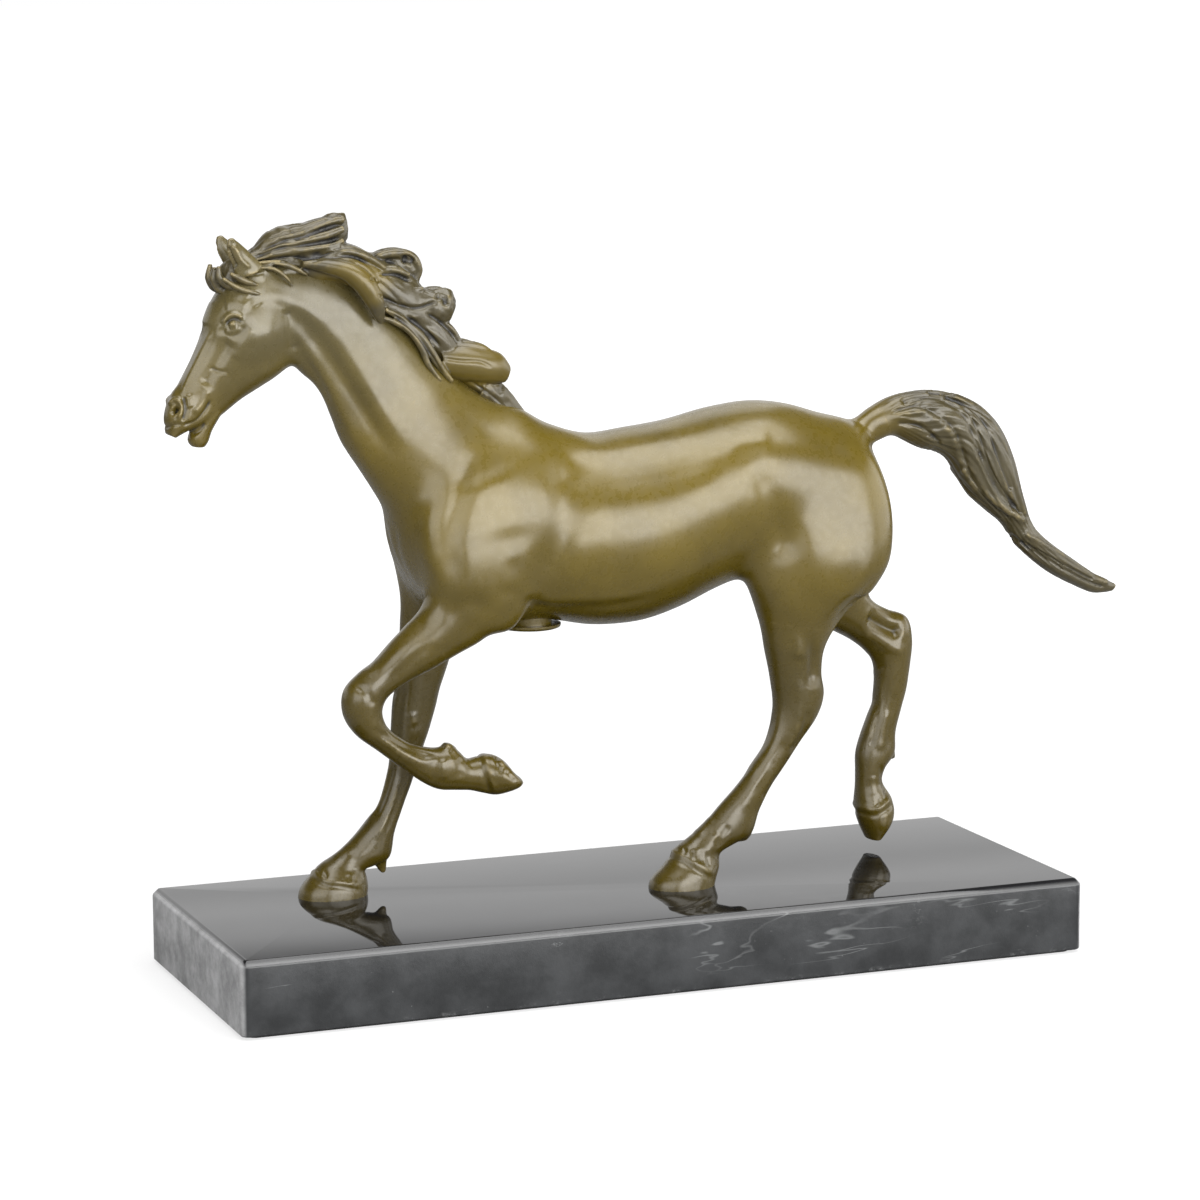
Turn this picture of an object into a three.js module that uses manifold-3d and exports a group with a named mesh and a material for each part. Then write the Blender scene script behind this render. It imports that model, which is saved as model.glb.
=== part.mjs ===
// Bronze horse at the trot on a black marble base.
// Millimetres, +Z up, the horse faces -X, its left side is towards -Y.
// The origin is the centre of the underside of the felt.
import * as THREE from "three";
import ManifoldModule from "manifold-3d";

const wasm = await ManifoldModule();
wasm.setup();

// ---------------------------------------------------------------- sizes
const BASE_LENGTH = 300;
const BASE_DEPTH = 110;
const BASE_HEIGHT = 25;
const BASE_CORNER = 3;
const FELT = 1;
const FELT_INSET = 3;
const TOP = FELT + BASE_HEIGHT; // marble top, where the standing hooves rest
const HORSE_Y = 2.5; // midline of the horse, a little behind the middle of the base

const WALL = 4; // bronze thickness of the hollow trunk and neck
const GAP = 0.3; // clearance of every turned, drilled or sawn fit

const STUD_R = 3; // M6
const STUD_DEPTH = 9; // length of stud inside a hoof
const COUNTERBORE_R = 10;
const COUNTERBORE_DEPTH = 11;
const WASHER_R = 7;
const WASHER_T = 1.6;
const NUT_AF = 10;
const NUT_H = 5;
const STUD_FRONT = [-93.5, 17.5]; // x, y from the midline, under the right fore hoof
const STUD_HIND = [20.5, -14.5]; // under the left hind hoof

const CORE_X = -31; // core hole under the girth
const CORE_R = 8;
const PLUG_R = 10.8;
const PLUG_T = 1.5;

// A station is one cross section of a limb or of the body:
// [x, z of one edge], [x, z of the opposite edge], half width, offset from the midline, egg.
// Egg above 0 makes the section wider towards the first edge, below 0 towards the second.
const TRUNK = [
  [-80.2, 161, -79.2, 144, 8, 0, 0],
  [-76.2, 171, -73.5, 134, 17, 0, 0],
  [-66, 181, -65, 123, 22, 0, 0],
  [-52, 189, -53, 118.6, 24, 0, -0.1],
  [-38, 193, -39, 119, 25.5, 0, -0.15],
  [-25, 186, -26, 119.2, 27, 0, -0.15],
  [-10, 181.4, -10, 116.3, 28.5, 0, -0.08],
  [6, 182.7, 6, 116.4, 29, 0, -0.05],
  [20, 184.6, 20, 119.9, 28.5, 0, 0],
  [35, 187.8, 35, 126, 27.5, 0, 0.05],
  [50, 189.6, 49, 129.5, 27, 0, 0.05],
  [63, 188.3, 63, 129, 27, 0, 0],
  [76, 184.4, 76, 128, 25, 0, 0],
  [86, 181.8, 86, 130, 21, 0, 0],
  [92, 176, 92, 138, 15, 0, 0],
  [95.8, 167, 95.8, 148, 7, 0, 0],
];
const NECK = [
  [-34, 183, -66, 142, 19, 0, -0.1],
  [-40, 192.5, -80.5, 157.5, 19, 0, -0.1],
  [-53, 200, -89.2, 171, 15.5, 0, -0.1],
  [-64, 211, -96, 182.2, 12.5, 0, -0.1],
  [-76, 223.5, -100.4, 193, 10.5, 0, -0.05],
  [-90, 235, -105.2, 201.5, 9.5, 0, 0],
  [-104, 241.5, -111, 206.5, 9, 0, 0],
  [-117, 244, -115, 209, 8.5, 0, 0],
];
const HEAD = [
  [-122, 245, -110.5, 226, 7, 0, 0],
  [-131, 240, -110.5, 218, 9, 0, 0.1],
  [-137.5, 232.5, -111.5, 210, 10.5, 0, 0.15],
  [-141.3, 225, -117, 205, 10.5, 0, 0.05],
  [-142.8, 218, -123, 202, 9, 0, 0],
  [-146, 211, -129.5, 198.3, 7.2, 0, 0],
  [-150, 204.5, -135.5, 194, 6, 0, 0],
  [-154, 199.5, -140.5, 190.5, 6, 0, 0],
  [-155.8, 193.5, -146.5, 189, 5.6, 0, 0],
  [-155.4, 187.8, -152.2, 186.4, 3.6, 0, 0],
];
const CHIN = [
  [-143, 195, -136.5, 194, 4.6, 0, 0],
  [-146.5, 189.5, -139.8, 188.5, 4.2, 0, 0],
  [-147.9, 185.4, -141.2, 184.8, 3.8, 0, 0],
  [-146.6, 183.2, -142.6, 182.9, 2.6, 0, 0],
];
const EAR = [
  [-133, 237, -122, 240.5, 2.6, -6, 0],
  [-133.4, 241, -125.6, 243.5, 2.5, -6.2, 0],
  [-135.4, 246, -129.8, 247.6, 1.8, -6.4, 0],
  [-135.2, 250.2, -133.4, 250.6, 0.6, -6.4, 0],
];
const SHOULDER = [
  [-58, 181, -42, 182, 5, -12.5, 0],
  [-70, 168, -34, 168, 9, -15.5, 0],
  [-75, 153, -33, 152, 10.5, -16.5, 0],
  [-73, 139, -37, 136, 10.5, -16.5, 0],
  [-70.5, 129, -42, 120.5, 9, -15.5, 0],
  [-68, 122, -50, 118, 6, -15, 0],
];
const FORELEG_LEFT = [
  [-70, 140, -44, 124, 9.5, -16, 0],
  [-73, 132, -53, 116.5, 9, -15.8, 0],
  [-75, 127.5, -63.3, 111.5, 8.2, -15.5, 0],
  [-80, 122, -70, 108, 7.6, -15.2, 0],
  [-85, 117, -76.4, 105.3, 6.9, -15, 0],
  [-90, 111.5, -83, 101.8, 6.3, -14.8, 0],
  [-95.5, 107.8, -87, 98.5, 6.5, -14.6, 0],
  [-101, 102, -88.3, 94.5, 6.8, -14.5, 0],
  [-101.3, 94, -87.2, 90.5, 6.4, -14.5, 0],
  [-97, 87, -85, 87.6, 5.4, -14.5, 0],
  [-90, 81.5, -82.5, 85.6, 4.6, -14.5, 0],
  [-83, 76, -77.5, 82.5, 4.3, -14.5, 0],
  [-75, 70, -70, 80.9, 4.9, -14.5, 0],
  [-69, 66.8, -64.5, 81.3, 5.6, -14.5, 0],
  [-63, 66.1, -61.5, 79, 5.3, -14.5, 0],
  [-58, 65.6, -58.5, 76.3, 4.8, -14.5, 0],
  [-53.5, 64.4, -53.5, 77.2, 5.6, -14.5, 0],
  [-49, 63.4, -49.8, 77, 7.4, -14.5, 0],
  [-44.8, 64.1, -46.3, 75, 8.2, -14.5, 0],
  [-41.6, 65.3, -43.6, 71.6, 7.4, -14.5, 0],
  [-40, 66.7, -41.2, 69.4, 5, -14.5, 0],
];
const FORELEG_RIGHT = [
  [-74, 144, -45, 142, 9, 15, 0],
  [-71.4, 128, -46, 121, 8.8, 16, 0],
  [-71, 115, -51.5, 112, 8, 16.6, 0],
  [-72, 106, -54, 104, 7.3, 17, 0],
  [-72.8, 96, -57, 95.5, 6.8, 17.3, 0],
  [-73.7, 88, -59, 88, 6.5, 17.5, 0],
  [-74.4, 80, -61.6, 80, 6.2, 17.5, 0],
  [-75, 71, -64.8, 71, 5, 17.5, 0],
  [-76.8, 63, -68, 62, 4.5, 17.5, 0],
  [-80, 55, -71.4, 53.5, 4.6, 17.5, 0],
  [-84.5, 49.5, -74, 46, 5.3, 17.5, 0],
  [-90, 43.8, -75.8, 37.8, 5.6, 17.5, 0],
  [-95, 40, -81, 35.3, 5.2, 17.5, 0],
  [-100, 37, -84.4, 34.3, 5.8, 17.5, 0],
  [-103.6, 33.5, -84, 31.6, 7.7, 17.5, 0],
  [-107.3, 28.8, -83.6, 28.5, 8.7, 17.5, 0],
  [-108, TOP, -84, TOP, 9, 17.5, 0],
];
const HINDLEG_LEFT = [
  [60, 177, 82, 177, 7, -11, 0],
  [50, 168, 91, 170, 12, -13, 0],
  [44, 155, 94.6, 158, 15, -14, 0],
  [42.6, 142, 95, 145, 15.3, -14.3, 0],
  [42, 131, 91, 133, 14, -14.3, 0],
  [45.2, 122, 84.5, 123, 11.6, -14.4, 0],
  [47.9, 114, 76.5, 114, 9.8, -14.5, 0],
  [49.7, 105, 71.2, 105.5, 8.3, -14.5, 0],
  [51.5, 96, 70, 97, 7.3, -14.5, 0],
  [52.6, 88, 71, 89, 7, -14.5, 0],
  [52.4, 80.5, 68.3, 81.5, 6.6, -14.5, 0],
  [49.5, 72, 62, 73, 5.4, -14.5, 0],
  [44.5, 65.3, 56, 64.5, 4.8, -14.5, 0],
  [39, 58.8, 50.8, 57.3, 4.7, -14.5, 0],
  [33, 53, 47, 50, 5, -14.5, 0],
  [27, 46.8, 44, 42.2, 5.6, -14.5, 0],
  [21, 42.3, 38, 39.3, 5.3, -14.5, 0],
  [16.5, 39, 32.6, 36.5, 5.8, -14.5, 0],
  [12.3, 33.5, 32, 32, 7.6, -14.5, 0],
  [7.5, 28.7, 31, 28.6, 8.6, -14.5, 0],
  [6.8, TOP, 30, TOP, 8.9, -14.5, 0],
];
const HINDLEG_RIGHT = [
  [60, 177, 84, 177, 7, 11, 0],
  [52, 166, 95, 170, 12, 13, 0],
  [50, 150, 101.8, 157, 15, 14, 0],
  [54, 135, 103.8, 143, 14.5, 14.3, 0],
  [62, 122, 103, 131, 12.8, 14.5, 0],
  [72, 113.5, 101, 123.5, 10.6, 14.8, 0],
  [81, 108.7, 101.5, 117.6, 9.2, 15, 0],
  [89, 104.7, 104.5, 114, 8, 15.3, 0],
  [95.5, 101.2, 110, 111, 7, 15.5, 0],
  [100.8, 97.2, 117, 108, 6.8, 15.5, 0],
  [104.2, 92.5, 119, 100.5, 6.4, 15.5, 0],
  [105.2, 86, 118.3, 91.5, 5.8, 15.5, 0],
  [104.6, 79, 117, 82.5, 5, 15.5, 0],
  [102.3, 73, 115, 75, 4.7, 15.5, 0],
  [99.5, 66, 113, 67, 4.7, 15.5, 0],
  [98, 60, 112.6, 59.5, 5.3, 15.5, 0],
  [98.1, 54, 108.8, 54.5, 5.1, 15.5, 0],
  [98, 48, 107.8, 49.5, 4.9, 15.5, 0],
  [97.8, 42.5, 111, 44, 7, 15.5, 0],
  [98.8, 37.5, 112, 39, 8.3, 15.5, 0],
  [100.5, 33, 110.8, 34.5, 7.8, 15.5, 0],
  [102.6, 28.8, 107, 29, 5, 15.5, 0],
];
const TAIL = [
  [88, 181, 90, 172, 4.5, 0, 0],
  [96.5, 186, 96.5, 172.5, 5.5, 0, 0],
  [103, 188.5, 102.5, 175, 6.3, 0, 0],
  [110, 189.8, 108, 173, 7, 0, 0],
  [118, 190.1, 114, 170.2, 7.6, 0, 0],
  [127, 188.4, 120, 168.6, 8, 0, 0],
  [136, 184.2, 125, 165.4, 8, 0, 0],
  [144, 177.3, 129.5, 158.5, 8, 0, 0],
  [150, 166, 133.8, 152.2, 7.4, 0, 0],
  [154, 152.3, 140.4, 146.8, 6.4, 0, 0],
  [157.6, 142.2, 147, 141.2, 4.8, 0, 0],
  [161.8, 136.9, 151.2, 134.8, 4.6, 0, 0],
  [168.2, 131.9, 158.3, 128.4, 4.8, 0, 0],
  [175.6, 126.4, 166, 122.9, 4.7, 0, 0],
  [182.7, 121.6, 175, 118.2, 3.9, 0, 0],
  [188.4, 119.2, 183, 114.9, 2.8, 0, 0],
  [192.4, 117.2, 190.6, 114.9, 1.2, 0, 0],
];
// Locks of the mane: every lock is a short loft, all of them grow out of the crest.
const LOCKS = {
  poll: [
    [-126.5, 244.5, -122, 239, 5, 0, 0],
    [-120, 251.8, -116, 240.5, 6, 0, 0],
    [-111.5, 254, -108, 239, 6, 0, 0],
    [-104, 254.6, -100.5, 240.5, 5.5, 1, 0],
    [-98, 257.3, -95, 245.5, 4.5, 2, 0],
    [-92.6, 257, -91.8, 248.8, 2.4, 3, 0],
  ],
  crest: [
    [-108, 249, -106, 233, 7.5, 0, 0],
    [-94, 247.5, -93, 230, 8.5, 1, 0],
    [-86, 244.5, -84, 224, 8.5, 1, 0],
    [-78, 240.3, -76, 217, 8.5, 0.5, 0],
    [-70, 235, -67, 209, 8, 0, 0],
    [-62, 224, -59, 202, 7.5, 0, 0],
    [-54, 212, -51, 197, 6, 0, 0],
    [-46, 203, -44, 191, 4, 0, 0],
  ],
  curlUpper: [
    [-85, 244, -82, 234, 4.5, 2, 0],
    [-77, 244.3, -74.5, 233, 5, 2, 0],
    [-71, 242.8, -70, 232, 4.6, 1.5, 0],
    [-68.3, 237.5, -69.8, 230.5, 3, 1, 0],
  ],
  crescent: [
    [-104, 240.5, -104, 236.5, 3, -7.5, 0],
    [-94, 240, -96, 235, 3.6, -9, 0],
    [-86.5, 236, -90, 230.5, 3.8, -10.3, 0],
    [-81.8, 229.5, -85.5, 225.5, 3.2, -11.2, 0],
    [-81, 222.4, -82.8, 221.6, 1.4, -11.6, 0],
  ],
  curlLower: [
    [-75, 234, -71, 220, 5, -2, 0],
    [-66, 231.8, -63.5, 219, 5.4, -3, 0],
    [-59.8, 231.7, -60, 220.5, 4.8, -3, 0],
    [-57, 227.5, -60.5, 219.5, 3, -3, 0],
  ],
  withers: [
    [-64, 214, -62, 202, 6, -2, 0],
    [-56, 213.6, -56, 201, 6.4, -3, 0],
    [-49, 212, -50, 200.2, 6, -3.5, 0],
    [-42, 209.8, -44.2, 199.8, 5, -3.5, 0],
    [-38.4, 205.4, -40.4, 199.8, 2.8, -3.5, 0],
  ],
  wisp: [
    [-47, 203, -50, 194, 4.5, -1, 0],
    [-40, 199, -43.5, 190.5, 3.8, -1, 0],
    [-32.8, 190.7, -36.5, 185, 3, 0, 0],
    [-28, 184.2, -31, 182.3, 1.6, 0, 0],
  ],
};
const FORELOCK = [
  [-124, 246, -121, 240, 5, 0, 0],
  [-131, 244.5, -128, 236, 5.4, 0, 0],
  [-136.2, 240.8, -132, 232, 4.8, 0, 0],
  [-138.2, 235.3, -134.2, 230.5, 3, 0, 0],
];

// Where the castings are joined: a point on the limb, the way the limb runs on from it,
// and the round tenon that is pinned into the neighbour.
const JOINTS = {
  foreleg_left: { at: [-72.2, 117.8], run: [-0.81, -0.59], y: -15.5, r: 3.6, length: 10, half: 7.4 },
  foreleg_right: { at: [-61.3, 109], run: [-0.12, -0.99], y: 16.8, r: 3.6, length: 10, half: 7 },
  hindleg_left: { at: [61.8, 113.5], run: [-0.18, -0.98], y: -14.5, r: 4, length: 11, half: 9 },
  hindleg_right: { at: [90, 113.5], run: [0.84, -0.54], y: 15, r: 4, length: 11, half: 8.4 },
  tail: { at: [99.5, 179.8], run: [0.9, 0.44], y: 0, r: 2.8, length: 9, half: 5.4 },
};
const PIN_R = 1.25;
const NECK_JOINT = { at: [-74.5, 196.5], run: [-0.68, 0.73] };
const SPIGOT_LENGTH = 8;
const SPIGOT_WALL = 2.6;

// ---------------------------------------------------------------- tools
const SECTION_POINTS = 16;

function orient(positions, indices) {
  // Turn the triangles round if the faces look inwards.
  let volume = 0;
  const at = (i) => new THREE.Vector3().fromArray(positions, 3 * i);
  for (let i = 0; i < indices.length; i += 3) {
    const [a, b, c] = [at(indices[i]), at(indices[i + 1]), at(indices[i + 2])];
    volume += a.dot(b.cross(c));
  }
  if (volume < 0) {
    for (let i = 0; i < indices.length; i += 3) {
      [indices[i + 1], indices[i + 2]] = [indices[i + 2], indices[i + 1]];
    }
  }
}

function solidFromRings(rings) {
  // Closed skin over rings of equal point count, with a fan at each end.
  const n = rings[0].length;
  const positions = rings.flat().flatMap((p) => [p.x, p.y, p.z]);
  const indices = [];
  for (let i = 0; i + 1 < rings.length; i += 1) {
    for (let j = 0; j < n; j += 1) {
      const k = (j + 1) % n;
      indices.push(i * n + j, (i + 1) * n + j, (i + 1) * n + k);
      indices.push(i * n + j, (i + 1) * n + k, i * n + k);
    }
  }
  for (const last of [false, true]) {
    const ring = last ? rings[rings.length - 1] : rings[0];
    const start = last ? (rings.length - 1) * n : 0;
    const middle = new THREE.Vector3();
    ring.forEach((p) => middle.add(p));
    middle.divideScalar(n);
    const centre = positions.length / 3;
    positions.push(middle.x, middle.y, middle.z);
    for (let j = 0; j < n; j += 1) {
      const k = (j + 1) % n;
      if (last) indices.push(centre, start + k, start + j);
      else indices.push(centre, start + j, start + k);
    }
  }
  orient(positions, indices);
  return manifold(positions, indices);
}

function manifold(positions, indices) {
  const mesh = new wasm.Mesh({
    numProp: 3,
    vertProperties: new Float32Array(positions),
    triVerts: new Uint32Array(indices),
  });
  mesh.merge();
  return new wasm.Manifold(mesh);
}

function fromGeometry(geometry) {
  // Any closed three.js geometry as a solid that can be joined and cut.
  const plain = geometry.index ? geometry.toNonIndexed() : geometry;
  const positions = Array.from(plain.attributes.position.array);
  const indices = positions.slice(0, positions.length / 3).map((_, i) => i);
  return manifold(positions, indices);
}

function blend(p0, p1, p2, p3, t) {
  // Catmull-Rom through the two middle values.
  const t2 = t * t;
  const t3 = t2 * t;
  return p1.map((_, i) => 0.5 * (2 * p1[i] + (p2[i] - p0[i]) * t
    + (2 * p0[i] - 5 * p1[i] + 4 * p2[i] - p3[i]) * t2
    + (3 * p1[i] - p0[i] - 3 * p2[i] + p3[i]) * t3));
}

function loft(stations, { steps = 1, grow = 0, points = SECTION_POINTS } = {}) {
  // Smooth body through the stations; grow moves the whole skin out or, below 0, in.
  const rings = [];
  const last = stations.length - 1;
  for (let i = 0; i <= last; i += 1) {
    const parts = i === last ? 1 : steps;
    for (let s = 0; s < parts; s += 1) {
      const around = [i - 1, i, i + 1, i + 2].map((k) => stations[Math.min(Math.max(k, 0), last)]);
      rings.push(section(blend(...around, s / parts), grow, points));
    }
  }
  return solidFromRings(rings);
}

function section([ax, az, bx, bz, width, y, egg], grow, points) {
  const middle = [(ax + bx) / 2, (az + bz) / 2];
  const half = [(ax - bx) / 2, (az - bz) / 2];
  const scale = 1 + grow / Math.hypot(...half);
  const ring = [];
  for (let j = 0; j < points; j += 1) {
    const angle = (2 * Math.PI * j) / points;
    const c = Math.cos(angle);
    ring.push(new THREE.Vector3(
      middle[0] + half[0] * scale * c,
      y + (width + grow) * Math.sin(angle) * (1 + egg * c),
      middle[1] + half[1] * scale * c,
    ));
  }
  return ring;
}

function join(solids) {
  return solids.reduce((a, b) => a.add(b));
}

function bar(from, to, radius, points = 16) {
  // Round bar between two points.
  const a = new THREE.Vector3(...from);
  const b = new THREE.Vector3(...to);
  const rod = new THREE.CylinderGeometry(radius, radius, a.distanceTo(b), points);
  const turn = new THREE.Quaternion().setFromUnitVectors(
    new THREE.Vector3(0, 1, 0), b.clone().sub(a).normalize());
  rod.applyQuaternion(turn);
  rod.translate(...a.add(b).divideScalar(2).toArray());
  return fromGeometry(rod);
}

function halfSpace([x, z], [dx, dz], offset, size = 200) {
  // Big block on the far side of a plane across the limb, its face `offset` beyond the point.
  const block = new THREE.BoxGeometry(size, size, size);
  block.translate(size / 2 + offset, 0, 0);
  block.rotateY(-Math.atan2(dz, dx));
  block.translate(x, 0, z);
  return fromGeometry(block);
}

function mirrored(stations) {
  return stations.map((s) => s.map((value, i) => (i === 5 ? -value : value)));
}

// ---------------------------------------------------------------- joints
function along(joint, distance) {
  const [x, z] = joint.at;
  return [x + joint.run[0] * distance, joint.y, z + joint.run[1] * distance];
}

function tenonJoint(joint) {
  // The tenon of the outer casting, the socket of its neighbour, the pin and its drilled hole.
  const { r, length, half, y } = joint;
  const [px, , pz] = along(joint, -length * 0.55);
  const pinHalf = half - 1.2;
  return {
    tenon: bar(along(joint, -length), along(joint, 2), r),
    socket: bar(along(joint, -length - GAP), along(joint, 1), r + GAP),
    pin: bar([px, y - pinHalf, pz], [px, y + pinHalf, pz], PIN_R, 12),
    hole: bar([px, y - half - 4, pz], [px, y + half + 4, pz], PIN_R + GAP, 12),
  };
}

const joints = Object.fromEntries(
  Object.entries(JOINTS).map(([name, joint]) => [name, tenonJoint(joint)]));

function limb(name, stations, region) {
  // Everything of a limb beyond its joint plane, with the tenon and the drilled hole.
  const joint = joints[name];
  const beyond = halfSpace(JOINTS[name].at, JOINTS[name].run, GAP);
  return loft(stations, region).intersect(beyond).add(joint.tenon).subtract(joint.hole);
}

function stump(name, stations) {
  // The part of a limb that is cast with the trunk.
  return loft(stations).subtract(halfSpace(JOINTS[name].at, JOINTS[name].run, 0));
}

// ---------------------------------------------------------------- horse
const skull = join([loft(NECK), loft(HEAD), loft(CHIN), loft(EAR), loft(mirrored(EAR))]);
const neckBeyond = (offset) => halfSpace(NECK_JOINT.at, NECK_JOINT.run, offset);
const neckHollow = loft(NECK.slice(0, 7), { grow: -WALL });

// The neck slides over the trunk's neck stub: a ring inside the upper casting runs down into it.
const spigot = loft(NECK, { grow: -WALL - GAP })
  .intersect(neckBeyond(-SPIGOT_LENGTH))
  .add(loft(NECK, { grow: -1 }).intersect(neckBeyond(GAP)))
  .subtract(neckBeyond(4))
  .subtract(loft(NECK, { grow: -WALL - GAP - SPIGOT_WALL }));
const headAndNeck = skull.intersect(neckBeyond(GAP)).subtract(neckHollow).add(spigot);

const neckPins = [-1, 1].map((side) => {
  const [x, z] = [
    NECK_JOINT.at[0] - NECK_JOINT.run[0] * 4,
    NECK_JOINT.at[1] - NECK_JOINT.run[1] * 4,
  ];
  return {
    pin: bar([x, side * 7.4, z], [x, side * 12.4, z], PIN_R, 12),
    hole: bar([x, side * 5, z], [x, side * 20, z], PIN_R + GAP, 12),
  };
});

const limbs = {
  foreleg_left: FORELEG_LEFT,
  foreleg_right: FORELEG_RIGHT,
  hindleg_left: HINDLEG_LEFT,
  hindleg_right: HINDLEG_RIGHT,
};

let trunk = join([
  loft(TRUNK),
  loft(NECK).subtract(neckBeyond(0)),
  loft(SHOULDER),
  loft(mirrored(SHOULDER)),
  ...Object.entries(limbs).map(([name, stations]) => stump(name, stations)),
  stump("tail", TAIL),
]);
const coreHole = bar([CORE_X, 0, 100], [CORE_X, 0, 130], CORE_R);
trunk = trunk
  .subtract(loft(TRUNK.slice(1, -1), { grow: -WALL, points: 12 }))
  .subtract(neckHollow)
  .subtract(coreHole);
for (const joint of Object.values(joints)) {
  trunk = trunk.subtract(joint.socket).subtract(joint.hole);
}
for (const { hole } of neckPins) {
  trunk = trunk.subtract(hole);
}

const locks = join(Object.values(LOCKS).map((stations) => loft(stations, { steps: 2, points: 8 })));
const forelock = loft(FORELOCK, { steps: 2, points: 8 });
const crestBed = join(
  [NECK, HEAD, TRUNK, SHOULDER, mirrored(SHOULDER), EAR, mirrored(EAR)]
    .map((stations) => loft(stations, { grow: GAP })));

// ---------------------------------------------------------------- base
function roundedRectangle(length, depth, radius, z) {
  const ring = [];
  const corners = [[1, 1, 0], [-1, 1, 90], [-1, -1, 180], [1, -1, 270]];
  for (const [sx, sy, start] of corners) {
    for (let step = 0; step <= 4; step += 1) {
      const angle = THREE.MathUtils.degToRad(start + step * 22.5);
      ring.push(new THREE.Vector3(
        sx * (length / 2 - radius) + radius * Math.cos(angle),
        sy * (depth / 2 - radius) + radius * Math.sin(angle),
        z,
      ));
    }
  }
  return ring;
}

function slab(length, depth, corner, z0, z1, round) {
  // Slab with rounded upright corners and a rounded upper edge.
  const rings = [
    roundedRectangle(length - 1, depth - 1, corner, z0),
    roundedRectangle(length, depth, corner, z0 + 0.5),
  ];
  for (let step = 0; step <= 4; step += 1) {
    const angle = (Math.PI / 2) * (step / 4);
    const inset = 2 * round * (1 - Math.cos(angle));
    rings.push(roundedRectangle(
      length - inset, depth - inset, corner - inset / 2 + 0.2, z1 - round + round * Math.sin(angle)));
  }
  return solidFromRings(rings);
}

const fixings = [STUD_FRONT, STUD_HIND];
const counterboreTop = FELT + COUNTERBORE_DEPTH;
const bores = fixings.map(([x, y]) => join([
  bar([x, y + HORSE_Y, -1], [x, y + HORSE_Y, counterboreTop], COUNTERBORE_R, 24),
  bar([x, y + HORSE_Y, counterboreTop - 1], [x, y + HORSE_Y, TOP + 5], STUD_R + 0.5, 20),
]));
const marble = bores.reduce(
  (body, bore) => body.subtract(bore),
  slab(BASE_LENGTH, BASE_DEPTH, BASE_CORNER, FELT, TOP, 2.5));

const feltRings = [0, FELT].map((z) => roundedRectangle(
  BASE_LENGTH - 2 * FELT_INSET, BASE_DEPTH - 2 * FELT_INSET, BASE_CORNER, z));
const felt = fixings.reduce(
  (sheet, [x, y]) => sheet.subtract(
    bar([x, y + HORSE_Y, -1], [x, y + HORSE_Y, FELT + 1], COUNTERBORE_R + 1, 24)),
  solidFromRings(feltRings));

function fixing([x, y]) {
  const washerBottom = counterboreTop - WASHER_T;
  const nutBottom = washerBottom - NUT_H;
  const hexagon = new THREE.CylinderGeometry(NUT_AF / Math.sqrt(3), NUT_AF / Math.sqrt(3), NUT_H, 6);
  hexagon.rotateX(Math.PI / 2);
  hexagon.translate(x, y, nutBottom + NUT_H / 2);
  const clear = bar([x, y, 0], [x, y, TOP], STUD_R + GAP, 20);
  return {
    stud: bar([x, y, nutBottom - 2], [x, y, TOP + STUD_DEPTH], STUD_R, 20),
    washer: bar([x, y, washerBottom], [x, y, counterboreTop], WASHER_R, 24).subtract(clear),
    nut: fromGeometry(hexagon).subtract(clear),
    hoofHole: bar([x, y, TOP - 3], [x, y, TOP + STUD_DEPTH + GAP], STUD_R + GAP, 20),
  };
}
const frontFixing = fixing(STUD_FRONT);
const hindFixing = fixing(STUD_HIND);

const plugTop = 118;
const plug = join([
  bar([CORE_X, 0, plugTop - PLUG_T], [CORE_X, 0, plugTop], PLUG_R, 24),
  bar([CORE_X, 0, plugTop - 1], [CORE_X, 0, plugTop + 5], CORE_R - GAP, 20),
]);

// ---------------------------------------------------------------- assembly
const group = new THREE.Group();
group.name = "bronze_horse_statue";
const horse = new THREE.Group();
horse.name = "horse";
horse.position.y = HORSE_Y;
group.add(horse);

const FINISH = {
  bronze: { color: 0x7a6f48, metalness: 0.9, roughness: 0.4 },
  marble: { color: 0x3c3e40, metalness: 0, roughness: 0.15 },
  felt: { color: 0x1d1e1c, metalness: 0, roughness: 1 },
  steel: { color: 0xa9abad, metalness: 1, roughness: 0.35 },
};

function place(name, solid, finish, parent = horse) {
  const { vertProperties, triVerts, numProp } = solid.getMesh();
  const geometry = new THREE.BufferGeometry();
  const positions = new Float32Array((vertProperties.length / numProp) * 3);
  for (let i = 0; i < positions.length / 3; i += 1) {
    positions.set(vertProperties.subarray(i * numProp, i * numProp + 3), i * 3);
  }
  geometry.setAttribute("position", new THREE.BufferAttribute(positions, 3));
  geometry.setIndex(new THREE.BufferAttribute(triVerts, 1));
  geometry.computeVertexNormals();
  const mesh = new THREE.Mesh(geometry, new THREE.MeshStandardMaterial(FINISH[finish]));
  mesh.name = name;
  parent.add(mesh);
}

place("marble_base", marble, "marble", group);
place("felt_sheet", felt, "felt", group);
place("trunk_casting", trunk, "bronze");
place("head_and_neck_casting", neckPins.reduce((s, p) => s.subtract(p.hole), headAndNeck), "bronze");
place("mane_casting", join([locks, forelock]).subtract(crestBed), "bronze");
place("foreleg_left", limb("foreleg_left", FORELEG_LEFT), "bronze");
place("foreleg_right",
  limb("foreleg_right", FORELEG_RIGHT).subtract(frontFixing.hoofHole), "bronze");
place("hindleg_left",
  limb("hindleg_left", HINDLEG_LEFT).subtract(hindFixing.hoofHole), "bronze");
place("hindleg_right", limb("hindleg_right", HINDLEG_RIGHT), "bronze");
place("tail_casting", limb("tail", TAIL), "bronze");
place("core_plug", plug, "bronze");
for (const [name, joint] of Object.entries(joints)) {
  place(`${name}_pin`, joint.pin, "bronze");
}
place("neck_pin_left", neckPins[0].pin, "bronze");
place("neck_pin_right", neckPins[1].pin, "bronze");
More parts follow.
